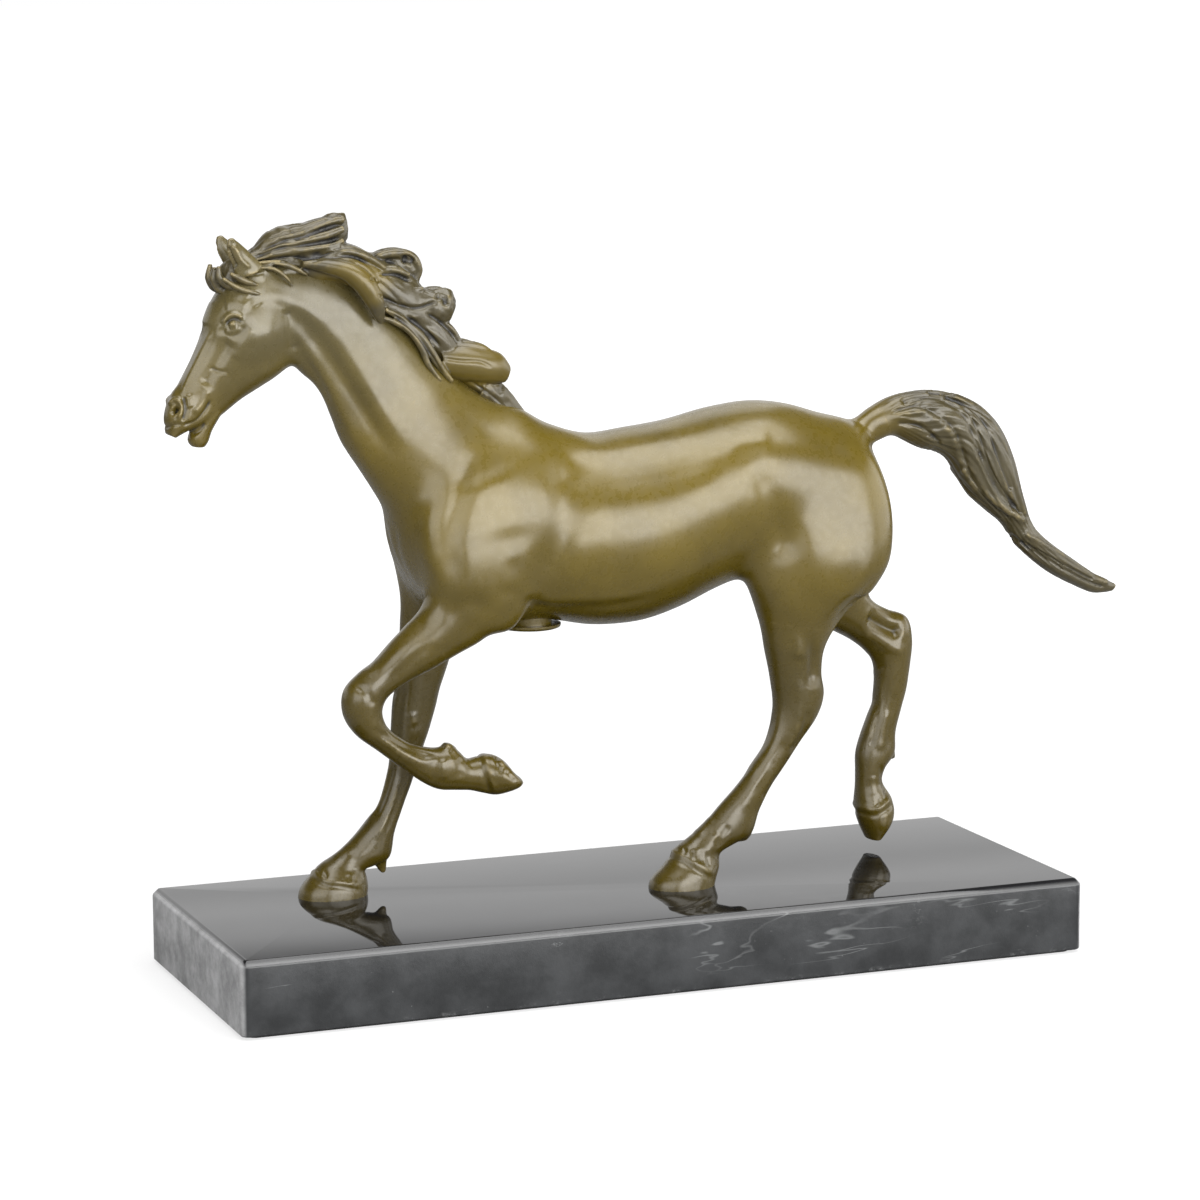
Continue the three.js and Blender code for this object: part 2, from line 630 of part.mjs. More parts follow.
for (const [end, parts] of [["front", frontFixing], ["hind", hindFixing]]) {
  place(`${end}_stud`, parts.stud, "steel");
  place(`${end}_washer`, parts.washer, "steel");
  place(`${end}_nut`, parts.nut, "steel");
}

export default group;
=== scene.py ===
# Bronze horse at the trot on a black marble base: the finished look.
# Metres in the model; the sculpting itself is worked in millimetres.
import math

import bmesh
import bpy
import numpy as np
from mathutils import Matrix, Vector, noise
from mathutils.bvhtree import BVHTree


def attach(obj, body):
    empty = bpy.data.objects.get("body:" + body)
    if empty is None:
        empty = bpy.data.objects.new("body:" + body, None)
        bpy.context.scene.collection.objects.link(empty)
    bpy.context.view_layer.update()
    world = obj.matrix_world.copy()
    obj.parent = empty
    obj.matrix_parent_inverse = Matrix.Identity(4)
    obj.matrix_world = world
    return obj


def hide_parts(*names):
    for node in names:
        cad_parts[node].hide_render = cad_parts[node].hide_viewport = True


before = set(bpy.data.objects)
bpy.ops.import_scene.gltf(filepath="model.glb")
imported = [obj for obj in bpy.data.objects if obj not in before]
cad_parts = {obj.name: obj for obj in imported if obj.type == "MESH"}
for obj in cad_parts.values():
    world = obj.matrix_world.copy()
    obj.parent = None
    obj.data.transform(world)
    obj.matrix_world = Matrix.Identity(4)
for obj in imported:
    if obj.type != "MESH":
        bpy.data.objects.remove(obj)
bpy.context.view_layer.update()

MM = 0.001
HORSE_Y = 2.5          # midline of the horse, mm behind the middle of the base
TOP = 26.0             # top of the marble, mm


# ------------------------------------------------------------------ camera
def aim_camera():
    """Three-quarter view from the horse's left, a little above it."""
    bpy.ops.object.camera_add(location=(-0.482767, -1.215966, 0.337402))
    camera = bpy.context.object
    camera.name = "view"
    yaw, pitch, roll = math.radians(-21.4), math.radians(9.2587), math.radians(-0.24)
    turn = (Matrix.Rotation(yaw, 4, "Z") @ Matrix.Rotation(math.pi / 2 - pitch, 4, "X")
            @ Matrix.Rotation(roll, 4, "Z"))
    camera.matrix_world = Matrix.Translation(camera.location) @ turn
    camera.data.sensor_width = 36
    camera.data.lens = 117.54
    camera.data.clip_end = 60
    bpy.context.scene.camera = camera


aim_camera()

# ------------------------------------------------------------------ the horse's sections
# One station: [x, z of one edge], [x, z of the other edge], half width, offset from the
# midline, egg. Egg above 0 widens the section towards the first edge.
TRUNK = [
    (-80.2, 161, -79.2, 144, 8, 0, 0),
    (-76.2, 171, -73.5, 134, 17, 0, 0),
    (-66, 181, -65, 123, 22, 0, 0),
    (-52, 189, -53, 118.6, 24, 0, -0.1),
    (-38, 193, -39, 119, 25.5, 0, -0.15),
    (-25, 186, -26, 119.2, 27, 0, -0.15),
    (-10, 181.4, -10, 116.3, 28.5, 0, -0.08),
    (6, 182.7, 6, 116.4, 29, 0, -0.05),
    (20, 184.6, 20, 119.9, 28.5, 0, 0),
    (35, 187.8, 35, 126, 27.5, 0, 0.05),
    (50, 189.6, 49, 129.5, 27, 0, 0.05),
    (63, 188.3, 63, 129, 27, 0, 0),
    (76, 184.4, 76, 128, 25, 0, 0),
    (86, 181.8, 86, 130, 21, 0, 0),
    (92, 176, 92, 138, 15, 0, 0),
    (95.8, 167, 95.8, 148, 7, 0, 0),
]
NECK = [
    (-34, 183, -66, 142, 19, 0, -0.1),
    (-40, 192.5, -80.5, 157.5, 19, 0, -0.1),
    (-53, 200, -89.2, 171, 15.5, 0, -0.1),
    (-64, 211, -96, 182.2, 12.5, 0, -0.1),
    (-76, 223.5, -100.4, 193, 10.5, 0, -0.05),
    (-90, 235, -105.2, 201.5, 9.5, 0, 0),
    (-104, 241.5, -111, 206.5, 9, 0, 0),
    (-116, 242, -114, 211, 7.6, 0, 0),
    (-123, 238, -121, 215, 4.5, 0, 0),
]
HEAD = [
    (-122, 245, -110.5, 226, 7, 0, 0),
    (-131, 240, -110.5, 218, 9, 0, 0.1),
    (-137.5, 232.5, -111.5, 210, 10.5, 0, 0.15),
    (-141.3, 225, -117, 205, 10.5, 0, 0.05),
    (-142.8, 218, -123, 202, 9, 0, 0),
    (-146, 211, -129.5, 198.3, 7.2, 0, 0),
    (-150, 204.5, -135.5, 194, 6, 0, 0),
    (-153.8, 199.5, -140.5, 190.5, 6, 0, 0),
    (-155.5, 193.5, -146.5, 189, 5.6, 0, 0),
    (-155.1, 187.8, -152.2, 186.4, 3.6, 0, 0),
]
CHIN = [
    (-143, 195, -136.5, 194, 4.6, 0, 0),
    (-146.5, 189.5, -139.8, 188.5, 4.2, 0, 0),
    (-147.9, 185.4, -141.2, 184.8, 3.8, 0, 0),
    (-146.6, 183.2, -142.6, 182.9, 2.6, 0, 0),
]
EAR = [
    (-133, 237, -122, 240.5, 2.6, -6, 0),
    (-133.4, 241, -125.6, 243.5, 2.5, -6.2, 0),
    (-135.4, 246, -129.8, 247.6, 1.8, -6.4, 0),
    (-135.2, 250.2, -133.4, 250.6, 0.6, -6.4, 0),
]
SHOULDER = [
    (-58, 184, -40, 186, 4, -11, 0),
    (-70, 170, -31, 171, 8.5, -14.5, 0),
    (-75, 153, -29, 153, 10.4, -16.6, 0),
    (-73, 139, -33, 137, 11.2, -17.4, 0),
    (-70.5, 129, -42, 120.5, 9.8, -16.2, 0),
    (-68, 122, -50, 118, 6, -15, 0),
]
FORELEG_LEFT = [
    (-70, 140, -44, 124, 9.5, -16, 0),
    (-73, 132, -53, 116.5, 9, -15.8, 0),
    (-75, 127.5, -63.3, 111.5, 8.2, -15.5, 0),
    (-80, 122, -70, 108, 7.6, -15.2, 0),
    (-85, 117, -76.4, 105.3, 6.9, -15, 0),
    (-90, 111.5, -83, 101.8, 6.3, -14.8, 0),
    (-95.5, 107.8, -87, 98.5, 6.5, -14.6, 0),
    (-101, 102, -88.3, 94.5, 6.8, -14.5, 0),
    (-101.3, 94, -87.2, 90.5, 6.4, -14.5, 0),
    (-97, 87, -85, 87.6, 5.4, -14.5, 0),
    (-90, 81.5, -82.5, 85.6, 4.6, -14.5, 0),
    (-83, 76, -77.5, 82.5, 4.3, -14.5, 0),
    (-75, 70, -70, 80.9, 4.9, -14.5, 0),
    (-69, 66.8, -64.5, 81.3, 5.6, -14.5, 0),
    (-63, 66.1, -61.5, 79, 5.3, -14.5, 0),
    (-58, 65.6, -58.5, 76.3, 4.8, -14.5, 0),
    (-53.5, 64.4, -53.5, 77.2, 5.6, -14.5, 0),
    (-49, 63.4, -49.8, 77, 7.4, -14.5, 0),
    (-44.8, 64.1, -46.3, 75, 8.2, -14.5, 0),
    (-41.6, 65.3, -43.6, 71.6, 7.4, -14.5, 0),
    (-40, 66.7, -41.2, 69.4, 5, -14.5, 0),
]
FORELEG_RIGHT = [
    (-74, 144, -45, 142, 9, 15, 0),
    (-71.4, 128, -46, 121, 8.8, 16, 0),
    (-71, 115, -51.5, 112, 8, 16.6, 0),
    (-72, 106, -54, 104, 7.3, 17, 0),
    (-72.8, 96, -57, 95.5, 6.8, 17.3, 0),
    (-73.7, 88, -59, 88, 6.5, 17.5, 0),
    (-74.4, 80, -61.6, 80, 6.2, 17.5, 0),
    (-75, 71, -64.8, 71, 5, 17.5, 0),
    (-76.8, 63, -68, 62, 4.5, 17.5, 0),
    (-80, 55, -71.4, 53.5, 4.6, 17.5, 0),
    (-84.5, 49.5, -74, 46, 5.3, 17.5, 0),
    (-90, 43.8, -75.8, 37.8, 5.6, 17.5, 0),
    (-95, 40, -81, 35.3, 5.2, 17.5, 0),
    (-100, 37, -84.4, 34.3, 5.8, 17.5, 0),
    (-103.6, 33.5, -84, 31.6, 7.7, 17.5, 0),
    (-107.3, 28.8, -83.6, 28.5, 8.7, 17.5, 0),
    (-108, 25, -84, 25, 9, 17.5, 0),
]
HINDLEG_LEFT = [
    (60, 177, 82, 177, 7, -10, 0),
    (50, 168, 91, 170, 11.6, -12.6, 0),
    (44, 155, 95, 158, 12.4, -14, 0),
    (42.2, 142, 95.4, 145, 13.6, -14.4, 0),
    (42, 131, 91.4, 133, 13.8, -14.6, 0),
    (45.2, 122, 84.8, 123, 12.6, -14.6, 0),
    (47.9, 114, 76.5, 114, 9.8, -14.5, 0),
    (49.7, 105, 71.2, 105.5, 8.3, -14.5, 0),
    (51.5, 96, 70, 97, 7.3, -14.5, 0),
    (52.6, 88, 71, 89, 7, -14.5, 0),
    (52.4, 80.5, 68.3, 81.5, 6.6, -14.5, 0),
    (49.5, 72, 62, 73, 5.4, -14.5, 0),
    (44.5, 65.3, 56, 64.5, 4.8, -14.5, 0),
    (39, 58.8, 50.8, 57.3, 4.7, -14.5, 0),
    (33, 53, 47, 50, 5, -14.5, 0),
    (27, 46.8, 44, 42.2, 5.6, -14.5, 0),
    (21, 42.3, 38, 39.3, 5.3, -14.5, 0),
    (16.5, 39, 32.6, 36.5, 5.8, -14.5, 0),
    (12.3, 33.5, 32, 32, 7.6, -14.5, 0),
    (7.5, 28.7, 31, 28.6, 8.6, -14.5, 0),
    (6.8, 25, 30, 25, 8.9, -14.5, 0),
]
HAUNCH = [
    (49, 177, 84, 177, 8.5, -10, 0),
    (46, 168, 91, 168, 11.8, -12.4, 0),
    (47.6, 157, 94.4, 158, 13.0, -14.2, 0),
    (51, 146, 95, 146, 14, -15.8, 0),
    (54, 135, 92.6, 134, 14.2, -17.2, 0),
    (57, 124, 85, 123, 12, -17, 0),
]
HINDLEG_RIGHT = [
    (60, 177, 84, 177, 7, 10, 0),
    (52, 166, 95, 170, 11.6, 12.6, 0),
    (50, 150, 101.8, 157, 15, 14, 0),
    (54, 135, 103.8, 143, 15.2, 14.3, 0),
    (62, 122, 103, 131, 12.8, 14.5, 0),
    (72, 113.5, 101, 123.5, 10.6, 14.8, 0),
    (81, 108.7, 101.5, 117.6, 9.2, 15, 0),
    (89, 104.7, 104.5, 114, 8, 15.3, 0),
    (95.5, 101.2, 110, 111, 7, 15.5, 0),
    (100.8, 97.2, 117, 108, 6.8, 15.5, 0),
    (104.2, 92.5, 119, 100.5, 6.4, 15.5, 0),
    (105.2, 86, 118.3, 91.5, 5.8, 15.5, 0),
    (104.6, 79, 117, 82.5, 5, 15.5, 0),
    (102.3, 73, 115, 75, 4.7, 15.5, 0),
    (99.5, 66, 113, 67, 4.7, 15.5, 0),
    (98, 60, 112.6, 59.5, 5.3, 15.5, 0),
    (98.1, 54, 108.8, 54.5, 5.1, 15.5, 0),
    (98, 48, 107.8, 49.5, 4.9, 15.5, 0),
    (97.8, 42.5, 111, 44, 7, 15.5, 0),
    (98.8, 37.5, 112, 39, 8.3, 15.5, 0),
    (100.5, 33, 110.8, 34.5, 7.8, 15.5, 0),
    (102.6, 28.8, 107, 29, 5, 15.5, 0),
]
TAIL = [
    (88, 181, 90, 172, 4.5, 0, 0),
    (96.5, 186, 96.5, 172.5, 5.5, 0, 0),
    (103, 188.5, 102.5, 175, 6.3, 0, 0),
    (110, 189.8, 108, 173, 7, 0, 0),
    (118, 190.1, 114, 170.2, 7.6, 0, 0),
    (127, 188.4, 120, 168.6, 8, 0, 0),
    (136, 184.2, 125, 165.4, 8, 0, 0),
    (144, 177.3, 129.5, 158.5, 8, 0, 0),
    (150, 166, 133.8, 152.2, 7.4, 0, 0),
    (154, 152.3, 140.4, 146.8, 6.4, 0, 0),
    (157.6, 142.2, 147, 141.2, 4.8, 0, 0),
    (161.8, 136.9, 151.2, 134.8, 4.6, 0, 0),
    (168.2, 131.9, 158.3, 128.4, 4.8, 0, 0),
    (175.6, 126.4, 166, 122.9, 4.7, 0, 0),
    (182.7, 121.6, 175, 118.2, 3.9, 0, 0),
    (188.4, 119.2, 183, 114.9, 2.8, 0, 0),
    (192.4, 117.2, 190.6, 114.9, 1.2, 0, 0),
]

# Where the castings meet: a point on the limb and the way the limb runs on from it.
JOINTS = {
    "foreleg_left": ((-72.2, -15.5, 117.8), (-0.81, 0, -0.59), 19),
    "foreleg_right": ((-61.3, 16.8, 109), (-0.12, 0, -0.99), 17),
    "hindleg_left": ((61.8, -14.5, 113.5), (-0.18, 0, -0.98), 22),
    "hindleg_right": ((90, 15, 113.5), (0.84, 0, -0.54), 24),
    "tail": ((99.5, 0, 179.8), (0.9, 0, 0.44), 14),
}
NECK_JOINT = ((-74.5, 0, 196.5), (-0.68, 0, 0.73))


def other_side(stations):
    """The same stations across the horse's midline."""
    return [(a, b, c, d, w, -y, e) for a, b, c, d, w, y, e in stations]


# ------------------------------------------------------------------ sculpting tools
def spline(rows, steps):
    """Catmull-Rom curve through rows of numbers."""
    rows = np.asarray(rows, float)
    last = len(rows) - 1
    out = []
    for i in range(last):
        p0, p1, p2, p3 = (rows[min(max(k, 0), last)] for k in (i - 1, i, i + 1, i + 2))
        for s in range(steps):
            t = s / steps
            out.append(0.5 * (2 * p1 + (p2 - p0) * t + (2 * p0 - 5 * p1 + 4 * p2 - p3) * t * t
                              + (3 * p1 - p0 - 3 * p2 + p3) * t ** 3))
    out.append(rows[-1])
    return np.array(out)


def loft(stations, around=48, steps=6, hair=None, square=1.0):
    """Closed skin through the stations: points and faces. hair = (depth mm, strands, twist, seed);
    square below 1 fills out the corners of each section."""
    rows = spline(stations, steps)
    angle = np.linspace(0, 2 * np.pi, around, endpoint=False)
    c, s = np.cos(angle)[None, :], np.sin(angle)[None, :]
    c, s = np.sign(c) * np.abs(c) ** square, np.sign(s) * np.abs(s) ** square
    ax, az, bx, bz, width, y, egg = (rows[:, k:k + 1] for k in range(7))
    mx, mz, hx, hz = (ax + bx) / 2, (az + bz) / 2, (ax - bx) / 2, (az - bz) / 2
    swell = 1.0
    if hair:
        depth, strands, twist, seed = hair
        rng = np.random.default_rng(seed)
        t = np.linspace(0, 1, len(rows))[:, None]
        phase = angle[None, :] / (2 * np.pi) * strands + twist * t
        for k in range(3):
            phase = phase + 0.35 * np.sin(2 * np.pi * ((k + 1) * t + rng.random())
                                          + (k + 1) * angle[None, :] + 6 * rng.random())
        ridge = (0.65 * np.abs(np.sin(np.pi * phase))
                 + 0.35 * np.abs(np.sin(np.pi * (2.3 * phase + rng.random()))))
        size = np.minimum(np.hypot(hx, hz), width)
        fade = np.clip(np.minimum(t / 0.06, 1), 0, 1)
        swell = 1 + (ridge - 0.7) * fade * np.minimum(depth, 0.28 * size) / size
    x = mx + hx * c * swell
    z = mz + hz * c * swell
    yy = y + width * s * (1 + egg * c) * swell
    points = np.stack([x, yy, z], -1).reshape(-1, 3)
    n = len(rows)
    i, j = np.meshgrid(np.arange(n - 1), np.arange(around), indexing="ij")
    k = (j + 1) % around
    quads = np.stack([i * around + j, (i + 1) * around + j, (i + 1) * around + k,
                      i * around + k], -1).reshape(-1, 4)
    faces = [tuple(q) for q in quads]
    for ring, flip in ((0, False), (n - 1, True)):
        hub = len(points)
        points = np.vstack([points, points[ring * around:(ring + 1) * around].mean(0)])
        for a in range(around):
            b = (a + 1) % around
            tri = (hub, ring * around + a, ring * around + b)
            faces.append(tri[::-1] if flip else tri)
    return points, faces


def new_object(name, points, faces):
    """A mesh object from points and faces."""
    mesh = bpy.data.meshes.new(name)
    mesh.from_pydata([tuple(p) for p in points], [], faces)
    thing = bpy.data.objects.new(name, mesh)
    bpy.context.collection.objects.link(thing)
    return thing


def alone(thing):
    """Selects one piece only and makes it the active one."""
    bpy.ops.object.select_all(action="DESELECT")
    thing.select_set(True)
    bpy.context.view_layer.objects.active = thing


def face_outwards(thing):
    """Each shell of a mesh of closed shells is turned to look outwards."""
    alone(thing)
    bpy.ops.object.mode_set(mode="EDIT")
    bpy.ops.mesh.select_all(action="SELECT")
    bpy.ops.mesh.normals_make_consistent(inside=False)
    bpy.ops.object.mode_set(mode="OBJECT")


def fuse(name, masses, voxel):
    """One skin over all the masses; voxel in mm."""
    points, faces, base = [], [], 0
    for p, f in masses:
        points.append(p)
        faces += [tuple(int(v) + base for v in face) for face in f]
        base += len(p)
    thing = new_object(name, np.vstack(points), faces)
    face_outwards(thing)
    remesh = thing.modifiers.new("skin", "REMESH")
    remesh.mode = "VOXEL"
    remesh.voxel_size = voxel
    alone(thing)
    bpy.ops.object.modifier_apply(modifier=remesh.name)
    return thing


def get_points(thing):
    mesh = thing.data
    flat = np.empty(len(mesh.vertices) * 3, np.float32)
    mesh.vertices.foreach_get("co", flat)
    return flat.reshape(-1, 3).astype(float)


def set_points(thing, points):
    thing.data.vertices.foreach_set("co", points.astype(np.float32).ravel())
    thing.data.update()


def get_normals(thing):
    mesh = thing.data
    flat = np.empty(len(mesh.vertices) * 3, np.float32)
    mesh.vertex_normals.foreach_get("vector", flat)
    return flat.reshape(-1, 3).astype(float)


def get_edges(thing):
    flat = np.empty(len(thing.data.edges) * 2, np.int32)
    thing.data.edges.foreach_get("vertices", flat)
    return flat.reshape(-1, 2)


def neighbour_mean(values, edges, count):
    """For each point, the mean of the points it shares an edge with."""
    a, b = edges[:, 0], edges[:, 1]
    degree = np.maximum(np.bincount(a, minlength=count) + np.bincount(b, minlength=count), 1)
    out = np.empty_like(values)
    for k in range(values.shape[1]):
        out[:, k] = (np.bincount(a, values[b, k], count) + np.bincount(b, values[a, k], count))
    return out / degree[:, None]


def relax(thing, reach, voxel, where=None):
    """Rounds every crease over about `reach` mm and keeps the volume."""
    points, edges = get_points(thing), get_edges(thing)
    count = len(points)
    weight = 1.0 if where is None else where(points)[:, None]
    rounds = max(1, int((reach / voxel) ** 2))
    for _ in range(rounds):
        points += 0.6 * weight * (neighbour_mean(points, edges, count) - points)
        points -= 0.62 * weight * (neighbour_mean(points, edges, count) - points)
    set_points(thing, points)


def melt(thing, reach, voxel, where=None):
    """Blurs the surface like a warm knife; `reach` is the blur in mm."""
    points, edges = get_points(thing), get_edges(thing)
    weight = 0.6 if where is None else 0.6 * where(points)[:, None]
    for _ in range(max(1, round((reach / voxel) ** 2 / 0.3))):
        points += weight * (neighbour_mean(points, edges, len(points)) - points)
    set_points(thing, points)


def away_from_path(points, path):
    """Distance of each point to a broken line, and how far along the line it is, 0 to 1."""
    path = np.asarray(path, float)
    lengths = np.linalg.norm(np.diff(path, axis=0), axis=1)
    total, done = lengths.sum(), 0.0
    best = np.full(len(points), 1e9)
    along = np.zeros(len(points))
    for a, b, length in zip(path[:-1], path[1:], lengths):
        t = np.clip(((points - a) @ (b - a)) / (length ** 2), 0, 1)
        d = np.linalg.norm(points - (a + t[:, None] * (b - a)), axis=1)
        closer = d < best
        best[closer] = d[closer]
        along[closer] = (done + t[closer] * length) / total
        done += length
    return best, along


SIDE_X, SIDE_Z = 0.392, 0.175   # how the three-quarter side view slides with depth
GAZE = np.array([0.360, 0.919, -0.161])


def stroke(thing, path, width, lift, middle=0.0, taper=0.0):
    """Raises (lift above 0) or carves a soft line, drawn on the three-quarter side view of the
    part's own middle plane and repeated on its other side."""
    points, normals = get_points(thing), get_normals(thing)
    depth = np.abs(points[:, 1] - middle)
    flat = np.stack([points[:, 0] + SIDE_X * depth, points[:, 2] - SIDE_Z * depth], -1)
    path = spline(path, 4) if len(path) > 2 else np.asarray(path, float)
    low, high = path.min(0) - 3 * width, path.max(0) + 3 * width
    index = np.flatnonzero(((flat > low) & (flat < high)).all(1))
    if not len(index):
        return
    outward = normals[index].copy()
    outward[:, 1] = np.where(points[index, 1] < middle, outward[:, 1], -outward[:, 1])
    facing = np.clip(-(outward @ GAZE) / 0.3, 0, 1)
    d, along = away_from_path(flat[index], path)
    amount = lift * np.exp(-(d / width) ** 2) * facing
    if taper:
        amount *= np.clip(np.minimum(along, 1 - along) / taper, 0, 1)
    points[index] += normals[index] * amount[:, None]
    set_points(thing, points)


def strokes(thing, marks, **where):
    """Every mark of a list in turn."""
    for path, width, lift in marks:
        stroke(thing, path, width, lift, **where)


def hand_finish(thing, height, size):
    """The slight unevenness that filing and polishing leave; height and size in mm."""
    points, normals = get_points(thing), get_normals(thing)
    amount = np.array([noise.noise(Vector(p) / size) for p in points])
    set_points(thing, points + normals * (height * amount)[:, None])


def cut_beyond(thing, at, run, radius=None, keep="before"):
    """Saws the casting at a plane and closes the cut; with a radius only near the joint."""
    mesh = bmesh.new()
    mesh.from_mesh(thing.data)
    at, run = Vector(at), Vector(run).normalized()
    if radius:
        close = [v for v in mesh.verts if (v.co - at).length < radius]
        inside = set(close)
        edges = [e for e in mesh.edges if e.verts[0] in inside and e.verts[1] in inside]
        faces = [f for f in mesh.faces if all(v in inside for v in f.verts)]
        geometry = close + edges + faces
    else:
        geometry = mesh.verts[:] + mesh.edges[:] + mesh.faces[:]
    before = keep == "before"
    bmesh.ops.bisect_plane(mesh, geom=geometry, dist=1e-5, plane_co=at, plane_no=run,
                           clear_outer=before, clear_inner=not before)
    keep_biggest(mesh)
    rim = [e for e in mesh.edges if e.is_boundary]
    for edge in rim:
        edge.smooth = False
    if rim:
        bmesh.ops.holes_fill(mesh, edges=rim, sides=0)
    mesh.to_mesh(thing.data)
    mesh.free()
    thing.data.update()


def keep_biggest(mesh):
    """Leaves only the largest connected shell."""
    mesh.verts.ensure_lookup_table()
    seen = set()
    shells = []
    for start in mesh.verts:
        if start.index in seen:
            continue
        shell, queue = [], [start]
        seen.add(start.index)
        while queue:
            v = queue.pop()
            shell.append(v)
            for e in v.link_edges:
                w = e.other_vert(v)
                if w.index not in seen:
                    seen.add(w.index)
                    queue.append(w)
        shells.append(shell)
    shells.sort(key=len)
    for shell in shells[:-1]:
        bmesh.ops.delete(mesh, geom=shell, context="VERTS")


def record_relief(thing, reach, voxel, strength=1.0):
    """Stores how hollow or proud each point is, for the patina."""
    points, normals, edges = get_points(thing), get_normals(thing), get_edges(thing)
    count = len(points)
    soft = points.copy()
    for _ in range(max(2, int((reach / voxel) ** 2 * 2))):
        soft += 0.7 * (neighbour_mean(soft, edges, count) - soft)
    proud = ((points - soft) * normals).sum(1)
    for _ in range(2):
        proud = 0.5 * proud + 0.5 * neighbour_mean(proud[:, None], edges, count)[:, 0]
    mesh = thing.data
    layer = mesh.attributes.new("relief", "FLOAT", "POINT")
    layer.data.foreach_set("value", (proud * strength / 0.25).astype(np.float32))


def record_hair(thing, amount):
    """Stores where the surface is combed hair (1) and where it is smooth bronze (0)."""
    layer = thing.data.attributes.new("hair", "FLOAT", "POINT")
    layer.data.foreach_set("value", amount.astype(np.float32))


def within(points, centre, half):
    """1 inside an oval of the side view, easing to 0 at its edge; points in mm."""
    away = np.hypot((points[:, 0] - centre[0]) / half[0], (points[:, 2] - centre[1]) / half[1])
    return np.clip((1 - away) / 0.3, 0, 1)


def finished(thing, material, *nodes, slot="bronze"):
    """Moves the sculpture from the bench (mm, on its midline) to its place and hands it over."""
    points = get_points(thing)
    points[:, 1] += HORSE_Y
    set_points(thing, points * MM)
    alone(thing)
    bpy.ops.object.shade_smooth()
    hand_over(thing, material, *nodes, slot=slot)


def hand_over(thing, material, *nodes, slot):
    """Dresses a piece, hangs it under the root and hides the parts of the model it stands in for."""
    thing.data.materials.clear()
    thing.data.materials.append(material)
    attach(thing, "root")
    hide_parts(*nodes)


# ------------------------------------------------------------------ finishes
def node(tree, kind, **values):
    made = tree.nodes.new(kind)
    for key, value in values.items():
        setattr(made, key, value)
    return made


def plug_in(tree, target, value):
    """Wires a socket into another, or sets a plain value on it."""
    if hasattr(value, "is_output"):
        tree.links.new(value, target)
    else:
        target.default_value = value


def principled(name):
    material = bpy.data.materials.new(name)
    material.use_nodes = True
    tree = material.node_tree
    return material, tree, tree.nodes["Principled BSDF"]


def object_place(tree):
    """The point on the piece, in metres."""
    return node(tree, "ShaderNodeTexCoord").outputs["Object"]


def stretched(tree, coordinates, scale):
    made = node(tree, "ShaderNodeMapping")
    made.inputs["Scale"].default_value = scale
    tree.links.new(coordinates, made.inputs["Vector"])
    return made.outputs["Vector"]


def cloud(tree, coordinates, scale, detail=4.0, rough=0.55, distortion=0.0):
    """Soft cloudy mottling, 0 to 1."""
    made = node(tree, "ShaderNodeTexNoise")
    made.inputs["Scale"].default_value = scale
    made.inputs["Detail"].default_value = detail
    made.inputs["Roughness"].default_value = rough
    made.inputs["Distortion"].default_value = distortion
    tree.links.new(coordinates, made.inputs["Vector"])
    return made.outputs["Fac"]


def cells(tree, coordinates, scale):
    """Distance to the nearest of many scattered points."""
    made = node(tree, "ShaderNodeTexVoronoi")
    made.inputs["Scale"].default_value = scale
    tree.links.new(coordinates, made.inputs["Vector"])
    return made.outputs["Distance"]


def remap(tree, value, low, high, out_low=0.0, out_high=1.0):
    """Eases a value from one range into another."""
    made = node(tree, "ShaderNodeMapRange", interpolation_type="SMOOTHSTEP")
    for key, number in zip(("From Min", "From Max", "To Min", "To Max"),
                           (low, high, out_low, out_high)):
        made.inputs[key].default_value = number
    tree.links.new(value, made.inputs["Value"])
    return made.outputs["Result"]


def mix_colour(tree, factor, a, b):
    made = node(tree, "ShaderNodeMix", data_type="RGBA")
    plug_in(tree, made.inputs[0], factor)
    plug_in(tree, made.inputs[6], a)
    plug_in(tree, made.inputs[7], b)
    return made.outputs[2]


def maths(tree, operation, a, b=None):
    made = node(tree, "ShaderNodeMath", operation=operation)
    plug_in(tree, made.inputs[0], a)
    if b is not None:
        plug_in(tree, made.inputs[1], b)
    return made.outputs[0]


def raise_surface(tree, shader, height, strength, distance):
    """Small relief on the shader; distance in metres."""
    raised = node(tree, "ShaderNodeBump")
    raised.inputs["Strength"].default_value = strength
    raised.inputs["Distance"].default_value = distance
    tree.links.new(height, raised.inputs["Height"])
    tree.links.new(raised.outputs["Normal"], shader.inputs["Normal"])


def new_group(name, inputs, outputs):
    group = bpy.data.node_groups.new(name, "ShaderNodeTree")
    for label, kind, value in inputs:
        item = group.interface.new_socket(name=label, in_out="INPUT", socket_type=kind)
        item.default_value = value
    for label, kind in outputs:
        group.interface.new_socket(name=label, in_out="OUTPUT", socket_type=kind)
    return group, node(group, "NodeGroupInput").outputs, node(group, "NodeGroupOutput").inputs


def use_group(tree, group, **values):
    made = node(tree, "ShaderNodeGroup")
    made.node_tree = group
    for key, value in values.items():
        plug_in(tree, made.inputs[key], value)
    return made.outputs


